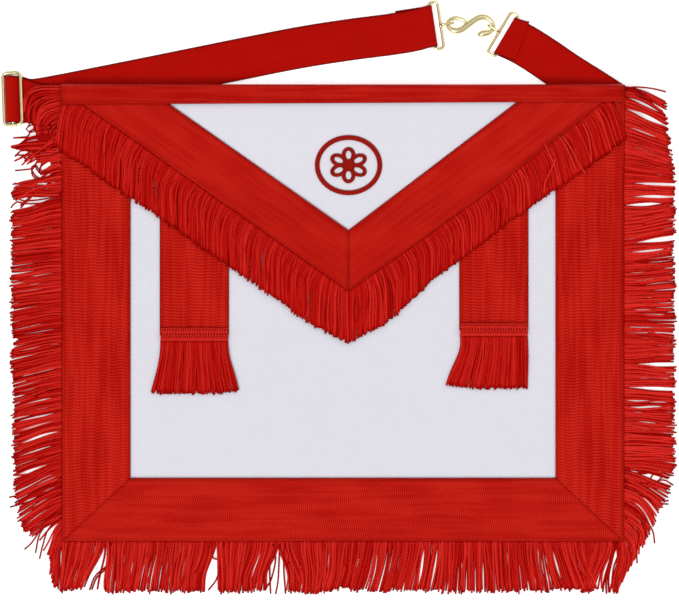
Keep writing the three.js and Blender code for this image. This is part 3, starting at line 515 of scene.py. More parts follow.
def make_flap_ribbon(name, side):
    angle = FLAP_ANGLE[side]
    inner_tip = FLAP_TIP + FLAP_RIBBON_WIDTH / FLAP_COSINE

    def outline(u, v):
        y_outer = mixed(FLAP_TIP + GAP, FLAP_TOP, u)
        y_inner = mixed(inner_tip, FLAP_TOP, u)
        outer = max(flap_edge(side, y_outer, 0), SEAM / 2)
        inner = max(flap_edge(side, y_inner, FLAP_RIBBON_WIDTH), SEAM / 2)
        y = mixed(y_outer, y_inner, v) - flap_sag(side, outer) * (1 - v)
        return FLAP_SHIFT + side * mixed(outer, inner, v), y

    def flat(x, y, u, v):
        reach = side * (x - FLAP_SHIFT)
        along = reach * math.cos(angle) + (y - FLAP_TIP) * math.sin(angle)
        return along, v * FLAP_RIBBON_WIDTH

    cloth_sheet(
        f"{name}_moire", name, FLAP_MOIRE, "ribbon", 70, 14, outline, flat,
        FLAP_RIBBON_LEVEL, RIBBON_THICKNESS,
    )


# Emblem: ring and rosette in satin stitch, drawn as flattened tubes

STITCH_HEIGHT = 1.0
RING_LINE = 3.5
PETAL_LINE = 2.6
PETALS = 6
HEART = 3.4


def satin_loop(centre, half_width, half_height, line, turn, level):
    """Place and map functions of an oval loop of satin stitch, domed on top."""
    around = math.pi * (half_width + half_height)

    def place(u, v):
        angle, round_section = 2 * math.pi * u, 2 * math.pi * v
        reach = math.cos(round_section) * line / 2
        x = (half_width - line / 2 + reach) * math.cos(angle)
        y = (half_height - line / 2 + reach) * math.sin(angle)
        turned_x = x * math.cos(turn) - y * math.sin(turn) + centre.x
        turned_y = x * math.sin(turn) + y * math.cos(turn) + centre.y
        dome = math.sin(round_section) * STITCH_HEIGHT / 2
        return turned_x, turned_y, lift(turned_y) + level + STITCH_HEIGHT / 2 + dome

    return place, lambda u, v: (u * around, v * 2 * line)


def joined_mesh(name, meshes):
    form = bmesh.new()
    for mesh in meshes:
        form.from_mesh(mesh)
        bpy.data.meshes.remove(mesh)
    return smooth_mesh(form, name)


def make_emblem():
    low, high = corners("emblem_ring")
    centre = (low + high) / 2
    half_width, half_height = (high.x - low.x) / 2, (high.y - low.y) / 2
    place, flat = satin_loop(centre, half_width, half_height, RING_LINE, 0.0, FLAP_RIBBON_LEVEL)
    mesh = grid_mesh("emblem_ring_stitched", 96, 12, place, flat, wrap=True)
    add_piece("emblem_ring_stitched", mesh, SATIN, "embroidery", "emblem_ring")

    stretch = half_width / half_height
    reach = 0.72 * (half_height - RING_LINE)
    petal_length, petal_width = reach - HEART / 2, reach * 0.68
    loops = []
    for petal in range(PETALS):
        turn = petal * 2 * math.pi / PETALS
        away = reach - petal_length / 2
        middle = Vector((centre.x - math.sin(turn) * away, centre.y + math.cos(turn) * away))
        place, flat = satin_loop(
            middle, petal_width / 2, petal_length / 2, PETAL_LINE, turn, FLAP_RIBBON_LEVEL)

        def widened(u, v, put=place):
            x, y, z = put(u, v)
            return centre.x + (x - centre.x) * stretch, y, z

        loops.append(grid_mesh("petal", 36, 8, widened, flat, wrap=True))

    def dome(u, v):
        radius, angle = HEART * math.sin(math.pi * v), 2 * math.pi * u
        y = centre.y + radius * math.sin(angle)
        rise = STITCH_HEIGHT / 2 - math.cos(math.pi * v) * STITCH_HEIGHT / 2
        return centre.x + radius * math.cos(angle) * stretch, y, lift(y) + FLAP_RIBBON_LEVEL + rise

    loops.append(grid_mesh("heart", 24, 8, dome, lambda u, v: (v * 12, u * 8), wrap=True))
    mesh = joined_mesh("emblem_rosette_stitched", loops)
    add_piece("emblem_rosette_stitched", mesh, SATIN, "embroidery", "emblem_rosette")


# Strands: every fringe is one mesh of tapered tubes. It is joined from arrays, because no operator
# makes so many bent tubes in time.

STRAND_SIDES = 6
STRAND_STEPS = 13
# Painted light: how much lighter the top of each strand is, and how much darker its sides and underside
PAINTED_CROWN_LIGHT = 0.32


def strand_mesh(name, paths, radius, tones_and_light, dice):
    """Tubes along paths of shape (strand, step, 3), in millimetres, with capped ends."""
    count, steps, _ = paths.shape
    tangent = unit(np.gradient(paths, axis=1))
    side = unit(np.cross(tangent, (0, 0, 1.0)))
    upward = np.cross(side, tangent)
    angle = np.arange(STRAND_SIDES) * 2 * math.pi / STRAND_SIDES + math.pi / 2
    ring = (
        side[:, :, None, :] * np.cos(angle)[None, None, :, None]
        + upward[:, :, None, :] * np.sin(angle)[None, None, :, None]
    )
    points = (paths[:, :, None, :] + ring * radius[:, :, None, None]) * MM
    steps_run = np.linalg.norm(np.diff(paths, axis=1), axis=2)
    along = np.concatenate([np.zeros((count, 1)), np.cumsum(steps_run, axis=1)], axis=1)
    along += dice.uniform(0, THREAD_LAY, (count, 1))

    strand, step, corner = np.meshgrid(
        np.arange(count), np.arange(steps - 1), np.arange(STRAND_SIDES), indexing="ij"
    )
    following = (corner + 1) % STRAND_SIDES
    base = (strand * steps + step) * STRAND_SIDES
    quads = np.stack([
        base + corner,
        base + STRAND_SIDES + corner,
        base + STRAND_SIDES + following,
        base + following,
    ], axis=-1).reshape(-1, 4)
    around = np.stack([corner, corner, corner + 1, corner + 1], axis=-1).reshape(-1)
    near, far = along[strand, step], along[strand, step + 1]
    run = np.stack([near, far, far, near], axis=-1).reshape(-1)

    first = (np.arange(count) * steps * STRAND_SIDES)[:, None] + np.arange(STRAND_SIDES)
    last = first + (steps - 1) * STRAND_SIDES
    caps = np.concatenate([first, last[:, ::-1]])

    mesh = bpy.data.meshes.new(name)
    mesh.vertices.add(points.size // 3)
    mesh.vertices.foreach_set("co", points.reshape(-1))
    loops = np.concatenate([quads.reshape(-1), caps.reshape(-1)])
    starts = np.concatenate([
        np.arange(len(quads)) * 4,
        quads.size + np.arange(len(caps)) * STRAND_SIDES,
    ])
    mesh.loops.add(len(loops))
    mesh.loops.foreach_set("vertex_index", loops)
    mesh.polygons.add(len(starts))
    mesh.polygons.foreach_set("loop_start", starts)
    mesh.update(calc_edges=True)
    flat = np.zeros((len(loops), 2))
    flat[: quads.size, 0] = around / STRAND_SIDES
    flat[: quads.size, 1] = run
    mesh.uv_layers.new(name="UVMap").data.foreach_set("uv", flat.reshape(-1))
    # Painted light and shade: each ring is painted lighter on top and darker on its sides and underside, as
    # if lit from above.
    lit = tones_and_light[:, :, None] + PAINTED_CROWN_LIGHT * np.sin(angle)[None, None, :]
    tone_and_light = mesh.attributes.new("tone_and_light", "FLOAT", "POINT")
    tone_and_light.data.foreach_set("value", np.clip(lit, 0, 1).reshape(-1))
    mesh.validate()
    mesh.shade_smooth()
    return mesh


def unit(vectors):
    return vectors / np.maximum(np.linalg.norm(vectors, axis=-1, keepdims=True), 1e-9)


def turned_down(side, angles):
    """Plan directions that point to a side and dip by angles given in degrees."""
    dip = np.radians(angles)
    return np.stack([side * np.cos(dip), -np.sin(dip)], axis=-1)


def leaning_down(angles):
    """Plan directions that point down and lean to the right by angles given in degrees."""
    lean = np.radians(angles)
    return np.stack([np.sin(lean), -np.cos(lean)], axis=-1)


def wander(place, dice, shortest, longest, waves=6):
    """A smooth random line over places in millimetres, about -1 to 1."""
    total = np.zeros_like(place)
    for _ in range(waves):
        total += np.sin(2 * math.pi * (place / dice.uniform(shortest, longest) + dice.uniform(0, 1)))
    return total / math.sqrt(waves)


def clump_shift(place, dice, look):
    """How far each strand's tip moves along the edge towards the middle of its clump."""
    low, high = place.min() - 1, place.max() + 1
    bounds = [low]
    while bounds[-1] < high:
        bounds.append(bounds[-1] + dice.uniform(*look["clump"]))
    bounds = np.array(bounds)
    middles = (bounds[1:] + bounds[:-1]) / 2
    pulls = np.minimum(look["pull"] * dice.exponential(1, len(middles)), 0.35)
    index = np.clip(np.searchsorted(bounds, place) - 1, 0, len(middles) - 1)
    return (middles[index] - place) * pulls[index]


def strand_paths(look, dice, station, ground):
    """Centre lines, radii and tints of one fringe's strands.

    Every second strand belongs to the bed: it lies low, straight and even, and the others lie on it.
    """
    count = int(look["span"] * look["per_mm"])
    bed = np.arange(count) % 2 == 0
    shares = (np.arange(count) + np.where(bed, 0.5, dice.uniform(0, 1, count))) / count
    root, out, hang, edge, place, turn, reach = station(shares, dice)
    layer = np.where(bed, dice.uniform(0, 0.3, count), dice.uniform(0.4, 1, count))
    loose = np.where(bed, 0.3, 1.0)
    length = look["length"] * (1 + dice.normal(0, look["ragged"], count))
    length *= 1 + look["uneven"] * wander(place, dice, 14, 70)
    length = np.minimum(length, look["length"] * 1.06) * reach
    share = np.linspace(0, 1, STRAND_STEPS)

    late = (loose * dice.normal(0, 0.05, count))[:, None]
    weight = smooth(share[None, :], turn[0][:, None] + late, turn[1][:, None] + late)[:, :, None]
    headings = unit(out[:, None, :] * (1 - weight) + hang[:, None, :] * weight)
    stride = headings * (length / (STRAND_STEPS - 1))[:, None, None]
    plan = root[:, None, :] + np.cumsum(stride, axis=1) - stride[:, :1]

    lean = look["lean"] * wander(place, dice, 35, 110) + loose * dice.normal(0, look["scatter"], count)
    bend = look["bend"] * wander(place, dice, 14, 50) + loose * dice.normal(0, look["bend"] * 0.5, count)
    waves = dice.uniform(1.3, 2.3, count)[:, None] * math.pi
    sideways = (lean * length)[:, None] * share
    sideways = sideways + bend[:, None] * np.sin(waves * share)
    sideways = sideways + (loose * clump_shift(place, dice, look))[:, None] * smooth(share, 0.1, 1.0)
    for centre, width, closing in look["gaps"]:
        push = np.sign(place - centre) * width / 2 * np.exp(-np.abs(place - centre) / (1.8 * width))
        opening = mixed(smooth(share, 0.05, 0.8), np.sin(math.pi * share) ** 1.5, closing)
        sideways = sideways + push[:, None] * opening
    stray = ~bed & (dice.uniform(0, 1, count) < look["stray"])
    wild = np.where(stray, dice.normal(0, look["wild"], count), 0) * length
    sideways = sideways + wild[:, None] * share**1.6
    plan = plan + edge[:, None, :] * sideways[:, :, None]

    radius = look["radius"] * dice.uniform(0.92, 1.08, count) * np.where(bed, look["bed"], 1)
    radii = radius[:, None] * (1 - 0.12 * smooth(share, 0.85, 1.0))[None, :]
    rise = smooth(share, 0.0, 0.24)[None, :]
    rooted = (look["root_height"] + lift(root[:, 1]) + (layer - 0.5) * 0.2)[:, None]
    floor = ground(plan[:, :, 0], plan[:, :, 1], share[None, :]) + radii
    ripple = 0.25 * np.sin(2 * math.pi * (1.3 * share[None, :] + dice.uniform(0, 1, (count, 1))))
    loft = (layer[:, None] * look["pile"] + ripple) * (1 - 0.4 * share[None, :])
    height = mixed(rooted, np.maximum(floor, floor + loft), rise)
    height = np.maximum(height, radii * 1.02)
    paths = np.concatenate([plan, height[:, :, None]], axis=2)

    # Tone: a base, painted light that lightens higher strands and leaves the low bed darker as if shaded,
    # and chance dye; then painted shade at the roots under the edge, and darker towards the tips.
    tones_and_light = (look["tone_and_light"] + look["height_light"] * layer + dice.normal(0, look["dye"], count))[:, None]
    tones_and_light = tones_and_light - 0.1 * (1 - smooth(share, 0.0, 0.1))[None, :] - 0.3 * smooth(share, 0.93, 1.0)[None, :]
    return paths, radii, tones_and_light


def stray_paths(lines, look, ground):
    """Single strands that lie apart from the rest, along lines of plan points."""
    share = np.linspace(0, 1, STRAND_STEPS)
    plan = np.array([spline(line, STRAND_STEPS) for line in lines])
    radii = np.full(plan.shape[:2], look["radius"] * 0.88)
    floor = ground(plan[:, :, 0], plan[:, :, 1], share[None, :]) + radii
    over = floor + look["stray_height"] * np.sin(math.pi * (0.3 + 0.7 * share))[None, :]
    paths = np.concatenate([plan, over[:, :, None]], axis=2)
    # Their tone is set per fringe; the flap's strays are painted light, as highlights on top of the fringe,
    # and all are darker towards the tips.
    tones_and_light = np.full(radii.shape, look["stray_tone_and_light"]) - 0.3 * smooth(share, 0.9, 1.0)[None, :]
    return paths, radii, tones_and_light


def fringe(name, node, look, station, ground):
    dice = np.random.default_rng(SEEDS[node])
    groups = [strand_paths(look, dice, station, ground)]
    if look["strays"]:
        groups.append(stray_paths(look["strays"], look, ground))
    mesh = strand_mesh(name, *(np.concatenate(parts) for parts in zip(*groups)), dice)
    return add_piece(name, mesh, THREAD, "fringe_thread", node)


# A fringe's look, in millimetres and shares: span is its edge, bed widens the lower strands, lean,
# scatter, bend and wild turn them, stray is the share that is wild, ragged and uneven change the
# length, clump and pull gather the tips, pile is how high they lie, and tint, relief and dye are
# the base of their tone, the painted light by which higher strands are lighter and lower ones darker
# as if shaded, and the chance part of their tone.
OUTER_LOOK = {
    "span": 330.0, "per_mm": 1.5, "bed": 1.0, "length": 38.0, "radius": 0.76, "lean": 0.025,
    "scatter": 0.03, "stray": 0.06, "wild": 0.14, "ragged": 0.024, "uneven": 0.018,
    "bend": 0.4, "clump": (9, 24), "pull": 0.05, "pile": 1.5,
    "root_height": 0.75, "tone_and_light": 0.2, "height_light": 0.46, "dye": 0.13,
    "stray_height": 1.2, "stray_tone_and_light": 0.12,
}

# Where strands part: place along the edge, width at the widest, and 1 where the tips close again
LEFT_GAPS = [
    (107, 6, 0), (84, 9, 0), (-22, 2, 0.4), (-39, 1.6, 0.9), (-60, 1.4, 1), (-66, 2, 0.9),
    (-71, 2, 0.8), (-77, 2, 0.6), (-85, 2.2, 0.9), (-94, 2, 0.7), (-107, 4, 0), (-117, 1.5, 0.9),
    (-124, 2, 0.4), (-130, 1.6, 0.6), (-137, 2, 0.4), (-149, 5, 0),
]
RIGHT_GAPS = [
    (157, 4, 0.6), (148, 4, 0.8), (135, 2, 0.9), (94, 3, 0.1), (83, 3, 0.2), (78, 3, 1), (50, 4, 0),
    (44, 2.5, 0.6), (2, 2, 0.8), (-38, 2.5, 0.3), (-54, 3, 0.2), (-63, 1.6, 1), (-67, 1.8, 1),
    (-71, 1.4, 1), (-79, 1.6, 1), (-114, 5, 0.2), (-141, 2, 0),
]
BOTTOM_GAPS = [
    (-172.5, 4, 0), (-92, 10, 0), (-59, 3, 0.5), (-47, 18, 0), (-10, 1.5, 0.8), (60, 2.4, 0.7),
    (69, 1.6, 0.9), (101, 1.5, 0), (142.5, 2.6, 0.5), (150, 2, 1), (197, 4.5, 0.5),
]
FLAP_GAPS = {-1: [(5, 1.2, 0.7), (46, 1, 0.8)], 1: [(5, 2.4, 0.9), (10, 1.2, 0.8)]}

# How the strands of the sides dip below the normal, by place up the edge: the angle at the root,
# the angle at the tip, where along the strand the turn begins and ends, and the share of the length
LEFT_DIPS = [
    (-165, 60, 92, 0, 0.5, 0.93), (-160, 50, 84, 0, 0.5, 0.97), (-155, 44, 78, 0, 0.6, 0.74),
    (-150, 38, 70, 0, 0.6, 0.7), (-148, 26, 40, 0, 0.6, 0.72), (-144, 20, 36, 0, 0.6, 0.8),
    (-140, 18, 40, 0, 0.6, 0.95), (-122, 12, 28, 0, 0.6, 1), (-110, 10, 21, 0, 0.6, 1),
    (-60, 8, 16, 0, 0.6, 1), (0, 4, 10, 0, 0.6, 1), (60, 2, 7, 0, 0.6, 1), (96, 3, 8, 0, 0.6, 1),
    (99, 4, 12, 0, 0.6, 0.8), (101, 6, 14, 0, 0.6, 0.42), (109, 4, 10, 0, 0.6, 0.5),
    (114, 4, 10, 0, 0.6, 0.55), (118, 4, 8, 0, 0.6, 0.8), (121, 4, 8, 0, 0.6, 1), (124, 6, 11, 0, 0.6, 1),
    (128, 10, 16, 0, 0.6, 1), (129.5, 14, 50, 0, 0.6, 0.95), (131.5, 22, 94, 0, 0.6, 0.95),
    (138, 20, 98, 0, 0.7, 1), (146, 12, 98, 0.05, 0.8, 1), (153, 6, 96, 0.15, 0.9, 1),
    (159, 0, 92, 0.28, 1, 1), (165, -3, 86, 0.36, 1.1, 1),
]
RIGHT_DIPS = [
    (-165, 80, 96, 0, 0.5, 0.95), (-161, 62, 110, 0, 0.8, 0.95), (-158, 44, 108, 0, 0.9, 0.85),
    (-156.5, 34, 90, 0, 0.9, 0.66), (-147, 24, 88, 0, 1, 0.76), (-137, 16, 74, 0, 1, 0.8),
    (-126, 10, 54, 0, 1, 0.85), (-118, 8, 30, 0, 0.9, 0.96), (-110, 3, 8, 0, 0.6, 1),
    (-60, 0, 2, 0, 0.6, 1), (0, 0, 0, 0, 0.6, 1), (35, -3, -8, 0, 0.6, 1), (60, -4, -9, 0, 0.6, 1),
    (85, 0, 0, 0, 0.6, 1), (105, 3, 7, 0, 0.6, 1), (125, 8, 17, 0, 0.6, 0.97), (145, 14, 27, 0, 0.6, 0.95),
    (158, 16, 30, 0, 0.6, 0.93), (165, 8, 22, 0, 0.6, 0.9),
]
# How far the bottom strands lean to the right: place along the edge and angle
BOTTOM_LEANS = [
    (-203, -3), (-197, -8), (-190, -15), (-176, -20), (-173, -18), (-171, -4), (-140, -6), (-100, -3),
    (-60, -1), (-20, -6), (0, -12), (30, -14), (60, -8), (100, 0), (130, 6), (143, 11), (150, 15),
    (172, 14), (179, -8), (188, -16), (193, -14), (196, -2), (203, -6),
]

# Single strands that lie apart: plan points from the root to the tip
LEFT_STRAYS = [
    [(-204.5, 135.4), (-216.2, 134.9), (-223.1, 136.3), (-227.8, 134.6), (-229.1, 132.4), (-226.3, 131.2),
     (-222.5, 134.1)],
    [(-203.5, 133.3), (-216.2, 132.2), (-227.8, 130.1), (-226.8, 127.8), (-238.4, 126.7)],
    [(-203.5, 132.2), (-213, 129), (-221.5, 128), (-228.9, 125.9), (-236.3, 120)],
    [(-203.5, 131.2), (-213, 128), (-221.5, 127), (-228.9, 124.9), (-235.3, 118.6)],
    [(-203.5, 130.1), (-214.1, 126.9), (-223.6, 125.9), (-231, 123.7), (-236.9, 120.6)],
    [(-203.5, 128), (-214.1, 124.8), (-222.5, 122.7), (-230, 120), (-233.7, 117.9)],
    [(-203.5, 122.7), (-214.1, 119.5), (-223.6, 116.3), (-232.1, 117.9), (-237.4, 113.1)],
    [(-203.5, 120.6), (-214.1, 117.9), (-221.5, 115.1), (-228.9, 114.4), (-237.4, 114.2)],
    [(-203.5, 116.3), (-211.9, 113.7), (-221.5, 113.1), (-226.8, 111.6), (-231, 112.1)],
    [(-203.5, 110), (-213, 102.5), (-219.4, 103.6), (-221.5, 106.8), (-224.7, 104.4), (-237.4, 103)],
    [(-203.5, 107.8), (-213, 101.5), (-219.9, 101.5), (-223.4, 107.8), (-225.3, 103.6), (-221.5, 98.3),
     (-216.2, 97)],
    [(-203.5, 102.5), (-213, 97.8), (-219.4, 96.7), (-224.7, 99.4), (-225.2, 105.7)],
    [(-203.5, 87.7), (-213, 84.5), (-226.8, 84.3), (-234.2, 83.2), (-239, 82.4)],
    [(-203.5, 85.6), (-216.2, 82.4), (-230, 81.1), (-234.2, 82.4), (-235.1, 85.6), (-237.4, 84.3)],
    [(-203.5, 82.4), (-216.2, 79.7), (-228.9, 79), (-236.3, 80.3), (-240.4, 76)],
    [(-203.5, -141.3), (-213, -147.7), (-219.9, -158.3), (-225.5, -166.6), (-230.5, -171)],
    [(-203.5, -144.5), (-213, -152), (-219.6, -160.4), (-222.5, -173.7)],
    [(-203.5, -147.7), (-213, -156.2), (-217.2, -167.9), (-219.6, -177.9)],
    [(-203.5, -119.1), (-216.2, -126.5), (-227.8, -130.7), (-241.6, -133.4)],
    [(-203.5, -125.4), (-216.2, -131.8), (-228.9, -137.1), (-241, -140.5)],
    [(-203.5, -130.7), (-216.2, -137.1), (-227.8, -145.6), (-235.5, -151.1)],
]
RIGHT_STRAYS = [
    [(203.1, 162.5), (211.6, 163.2), (220.1, 162.8), (227.5, 161.6), (233.8, 160)],
    [(204.2, 161.9), (212.7, 160.9), (219, 157.2), (224.3, 153.5), (233.8, 151.6)],
    [(204.2, 161.4), (211.6, 159.8), (217.9, 155.6), (225.3, 151.9), (234.9, 149.3)],
    [(203.7, -113.6), (214.8, -116.3), (224.3, -115.8), (222, -120.5)],
    [(203.7, -115.8), (217.9, -115.8), (230.6, -116.6), (228, -122.1), (224.8, -126.9)],
    [(203.7, -111.5), (214.8, -114.7), (229.6, -115.5), (239.3, -117.9)],
    [(203.7, -120), (216.9, -123.2), (225.3, -122.3), (232.2, -120.8), (239.3, -124.7)],
    [(203.7, -121), (216.9, -125.3), (229.6, -123.7), (237.2, -126.1)],
    [(203.7, -122.1), (214.8, -125.3), (225.3, -126.5), (237.5, -130.6)],
    [(203.7, -124.2), (213.7, -128.4), (223.2, -131.1), (230.1, -135.8), (235.9, -135.8)],
    [(203.7, -126.3), (213.7, -131.6), (225.3, -135.8), (230.6, -137.9), (235.7, -138.4)],
    [(204.2, -147.5), (213.7, -158), (212.4, -170.7), (212.9, -181.3)],
    [(204.2, -136.9), (215.8, -146.4), (223.8, -157), (225.6, -166.7)],
]
BOTTOM_STRAYS = [
    [(-167.4, -166.3), (-169, -180.6), (-179.1, -190.1), (-183.5, -200.7)],
    [(-168.5, -166.3), (-170.1, -182.7), (-178, -191.2), (-181.7, -200.2)],
    [(-95.3, -166.3), (-94.3, -176.3), (-91.1, -178.2), (-87.7, -178)],
    [(-85.8, -166.3), (-88.4, -180.6), (-91.6, -192.8), (-97.5, -200.7)],
    [(-50.6, -167.2), (-48.8, -178), (-51.8, -192.4), (-56, -199.6)],
    [(-45.8, -167.2), (-46.4, -182.8), (-47.1, -194.8), (-48.8, -203.5)],
    [(-42.2, -167.2), (-42.9, -182.8), (-41.6, -203.2)],
    [(-51, -170), (-53, -182.8), (-52.4, -203.2)],
    [(-38, -167.2), (-39.8, -182.8), (-37.5, -203.2)],
    [(195.7, -165.4), (197.3, -169.7), (194.7, -177.1), (192.8, -185.5)],
    [(197.9, -165.4), (198.9, -174.9), (195.7, -184.5), (194.2, -199.3)],
]
FLAP_STRAYS = [
    [(145, 122.8), (148.2, 116.5), (152.9, 105.9), (157.2, 90.1)],
    [(155.6, 127.6), (160.9, 119.7), (166.2, 108), (170.9, 99.6)],
    [(157.7, 128.1), (164, 119.7), (170.4, 108), (176.2, 99.4)],
    [(153.5, 112.3), (150.3, 103.8), (146.1, 94.3), (145, 84.8)],
    [(172.5, 137.6), (176.7, 128.1), (178.8, 116.5), (179.4, 105.4)],
]

# How far a fringe's roots lie under the edge that holds them
ROOT_DEPTH = 1.5
# Dips, gaps, strays and tint of the side fringes; the right one's higher tint is painted light, as if it
# lay in brighter light
SIDE_TABLES = {
    -1: (LEFT_DIPS, LEFT_GAPS, LEFT_STRAYS, 0.2),
    1: (RIGHT_DIPS, RIGHT_GAPS, RIGHT_STRAYS, 0.32),
}
# Where the upper left fringe is tangled, and the share of its strands that turn there
TANGLE_LOW, TANGLE_HIGH, TANGLE_SHARE = 92, 134, 0.3
SEEDS = {
    "fringe_left": 11, "fringe_right": 23, "fringe_bottom": 37, "flap_fringe_left": 41,
    "flap_fringe_right": 53, "tab_fringe_left": 61, "tab_fringe_right": 67, "stitches": 71, "braid": 83,
}


def at(table, place):
    """The table's columns at places given in its first one."""
    places, *columns = zip(*table)
    return [np.interp(place, places, column) for column in columns]


def over_belt(x, y):
    """Height of the belt layers under the upper left fringe."""
    edge = SLIDE_CENTRE.y - BELT_WIDTH / 2
    return np.where(x < 0, smooth(y, edge - 14, edge - 3), 0) * 2 * BELT_LAYER


def make_side_fringe(name, side):
    start, end = BODY_BOTTOM, BODY_TOP - RIBBON_THICKNESS
    table, gaps, strays, tone_and_light = SIDE_TABLES[side]

    def station(shares, dice):
        y = mixed(start, end, shares)
        first, last, turn_start, turn_end, reach = at(table, y)
        chosen = dice.uniform(0, 1, len(y)) < TANGLE_SHARE
        tangled = (side < 0) & (y > TANGLE_LOW) & (y < TANGLE_HIGH) & chosen
        last = last + np.where(tangled, dice.uniform(10, 40, len(y)), 0)
        root = np.stack([np.full_like(y, side * (BODY_HALF - ROOT_DEPTH)), y], axis=-1)
        edge = np.tile((0.0, 1.0), (len(y), 1))
        turn = (turn_start, turn_end)
        return root, turned_down(side, first), turned_down(side, last), edge, y, turn, reach

    def ground(x, y, t):
        return np.maximum(lift(y) * (1 - smooth(t, 0, 0.9)), over_belt(x, y))

    look = dict(OUTER_LOOK, gaps=gaps, strays=strays, tone_and_light=tone_and_light)
    fringe(f"{name}_strands", name, look, station, ground)


def make_bottom_fringe():
    def station(shares, dice):
        x = mixed(-BODY_HALF, BODY_HALF, shares)
        lean, = at(BOTTOM_LEANS, x)
        root = np.stack([x, np.full_like(x, BODY_BOTTOM + ROOT_DEPTH)], axis=-1)
        edge = np.tile((1.0, 0.0), (len(x), 1))
        turn = (np.full_like(x, 0.05), np.full_like(x, 0.6))
        return root, leaning_down(lean * 0.4), leaning_down(lean * 1.3), edge, x, turn, 1.0

    look = dict(
        OUTER_LOOK, span=406.0, radius=0.82, bend=0.5, pull=0.03, gaps=BOTTOM_GAPS, strays=BOTTOM_STRAYS)
    fringe("fringe_bottom_strands", "fringe_bottom", look, station, lambda x, y, t: 0 * x)


# The flap's single strands are painted light, as highlights where they lie on top.
FLAP_LOOK = {
    "per_mm": 1.5, "bed": 1.15, "length": 41.5, "radius": 0.8, "lean": 0.025, "scatter": 0.03,
    "stray": 0.04, "wild": 0.1, "ragged": 0.016, "uneven": 0.012,
    "bend": 0.45, "clump": (7, 20), "pull": 0.02, "pile": 1.2,
    "root_height": FLAP_LEVEL + 0.6, "tone_and_light": 0.2, "height_light": 0.36, "dye": 0.07,
    "stray_height": 2.6, "stray_tone_and_light": 0.8,
}


# Zone near the tip where the flap's strands turn from straight down to square to the edge
TIP_ZONE = 26.0
FLAP_SPREAD = {-1: 6, 1: 20}
FLAP_TRIM = {-1: 0.0, 1: 0.12}


def make_flap_fringe(name, side):
    reach, slope, angle = FLAP_REACH[side], FLAP_SLOPE[side], FLAP_ANGLE[side]

    def station(shares, dice):
        x = mixed(0.2, reach, shares)
        normal = np.array((side * math.sin(angle), -math.cos(angle)))
        down = np.array((0.0, -1.0))
        towards_tip = (np.maximum(0, 1 - x / TIP_ZONE) ** 1.2)[:, None]
        out = unit(normal * (1 - towards_tip) + down * towards_tip)
        spread = FLAP_SPREAD[side] * smooth(x, reach * 0.55, reach)
        edge = np.tile((side * math.cos(angle), math.sin(angle)), (len(x), 1))
        sag = flap_sag(side, x)
        root = np.stack([FLAP_SHIFT + side * x, FLAP_TIP + slope * x - sag], axis=-1) - out * ROOT_DEPTH
        turn = (np.zeros_like(x), np.full_like(x, 0.62))
        trimmed = 1 - 0.05 * (1 - smooth(x, 2, TIP_ZONE)) - FLAP_TRIM[side] * smooth(x, 20, 60)
        trimmed -= sag * math.cos(angle) / FLAP_LOOK["length"]
        return root, out, leaning_down(side * spread), edge, x, turn, trimmed

    strays = FLAP_STRAYS if side > 0 else []
    look = dict(FLAP_LOOK, span=reach / math.cos(angle), gaps=FLAP_GAPS[side], strays=strays)

    def ground(x, y, t):
        return lift(y) + FLAP_LEVEL - 0.1 - 0.5 * smooth(t, 0.3, 1)

    fringe(f"{name}_strands", name, look, station, ground)


TAB_FLARE = {-1: (6.5, 6.5), 1: (9.0, 1.0)}
TASSEL_LENGTH = 38.0


def make_tab_fringe(name, side, tab):
    low, high = corners(tab)
    low_braid, _ = corners(name.replace("fringe", "braid"))
    flare_left, flare_right = TAB_FLARE[side]

    def station(shares, dice):
        x = mixed(low.x + 0.5, high.x - 0.5, shares)
        down = np.tile((0.0, -1.0), (len(x), 1))
        drift = mixed(-flare_left, flare_right, shares)
        hang = unit(np.stack([1.7 * drift, np.full_like(x, -TASSEL_LENGTH)], axis=-1))
        root = np.stack([x, np.full_like(x, low_braid.y + ROOT_DEPTH)], axis=-1)
        turn = (np.zeros_like(x), np.full_like(x, 0.6))
        return root, down, hang, np.tile((1.0, 0.0), (len(x), 1)), x, turn, 1.0

    look = dict(
        FLAP_LOOK, span=TAB_WIDTH, per_mm=1.9, length=TASSEL_LENGTH + ROOT_DEPTH, pile=1.6,
        gaps=[], strays=[], bend=0.5, scatter=0.02, root_height=RIBBON_LEVEL + 0.6, pull=0.01, stray=0.0,
    )
    fringe(f"{name}_strands", name, look, station, lambda x, y, t: 0 * x + RIBBON_LEVEL - 0.2 * t)


# Machine stitches: short raised threads in rows along the seams

STITCH_RADIUS = 0.24
STITCH_SINK = 0.12


def stitch_row(start, end, level, pitch=2.6, slant=0.12):
    """Centre lines of the stitches between two plan points, on cloth whose top is at a level."""
    start, end = np.array(start, float), np.array(end, float)
    length = np.linalg.norm(end - start)
    along = (end - start) / length
    across = np.array((-along[1], along[0]))
    begins = np.arange(0, length - pitch, pitch)
    share = np.linspace(0, 1, 5)
    plan = start + (begins[:, None, None] + share[None, :, None] * pitch * 0.8) * along
    plan = plan + across * (slant * (share - 0.5))[None, :, None]
    arch = level - STITCH_SINK + 0.3 * np.sin(math.pi * share)[None, :]
    height = lift(plan[:, :, 1]) + arch
    return np.concatenate([plan, height[:, :, None]], axis=2)


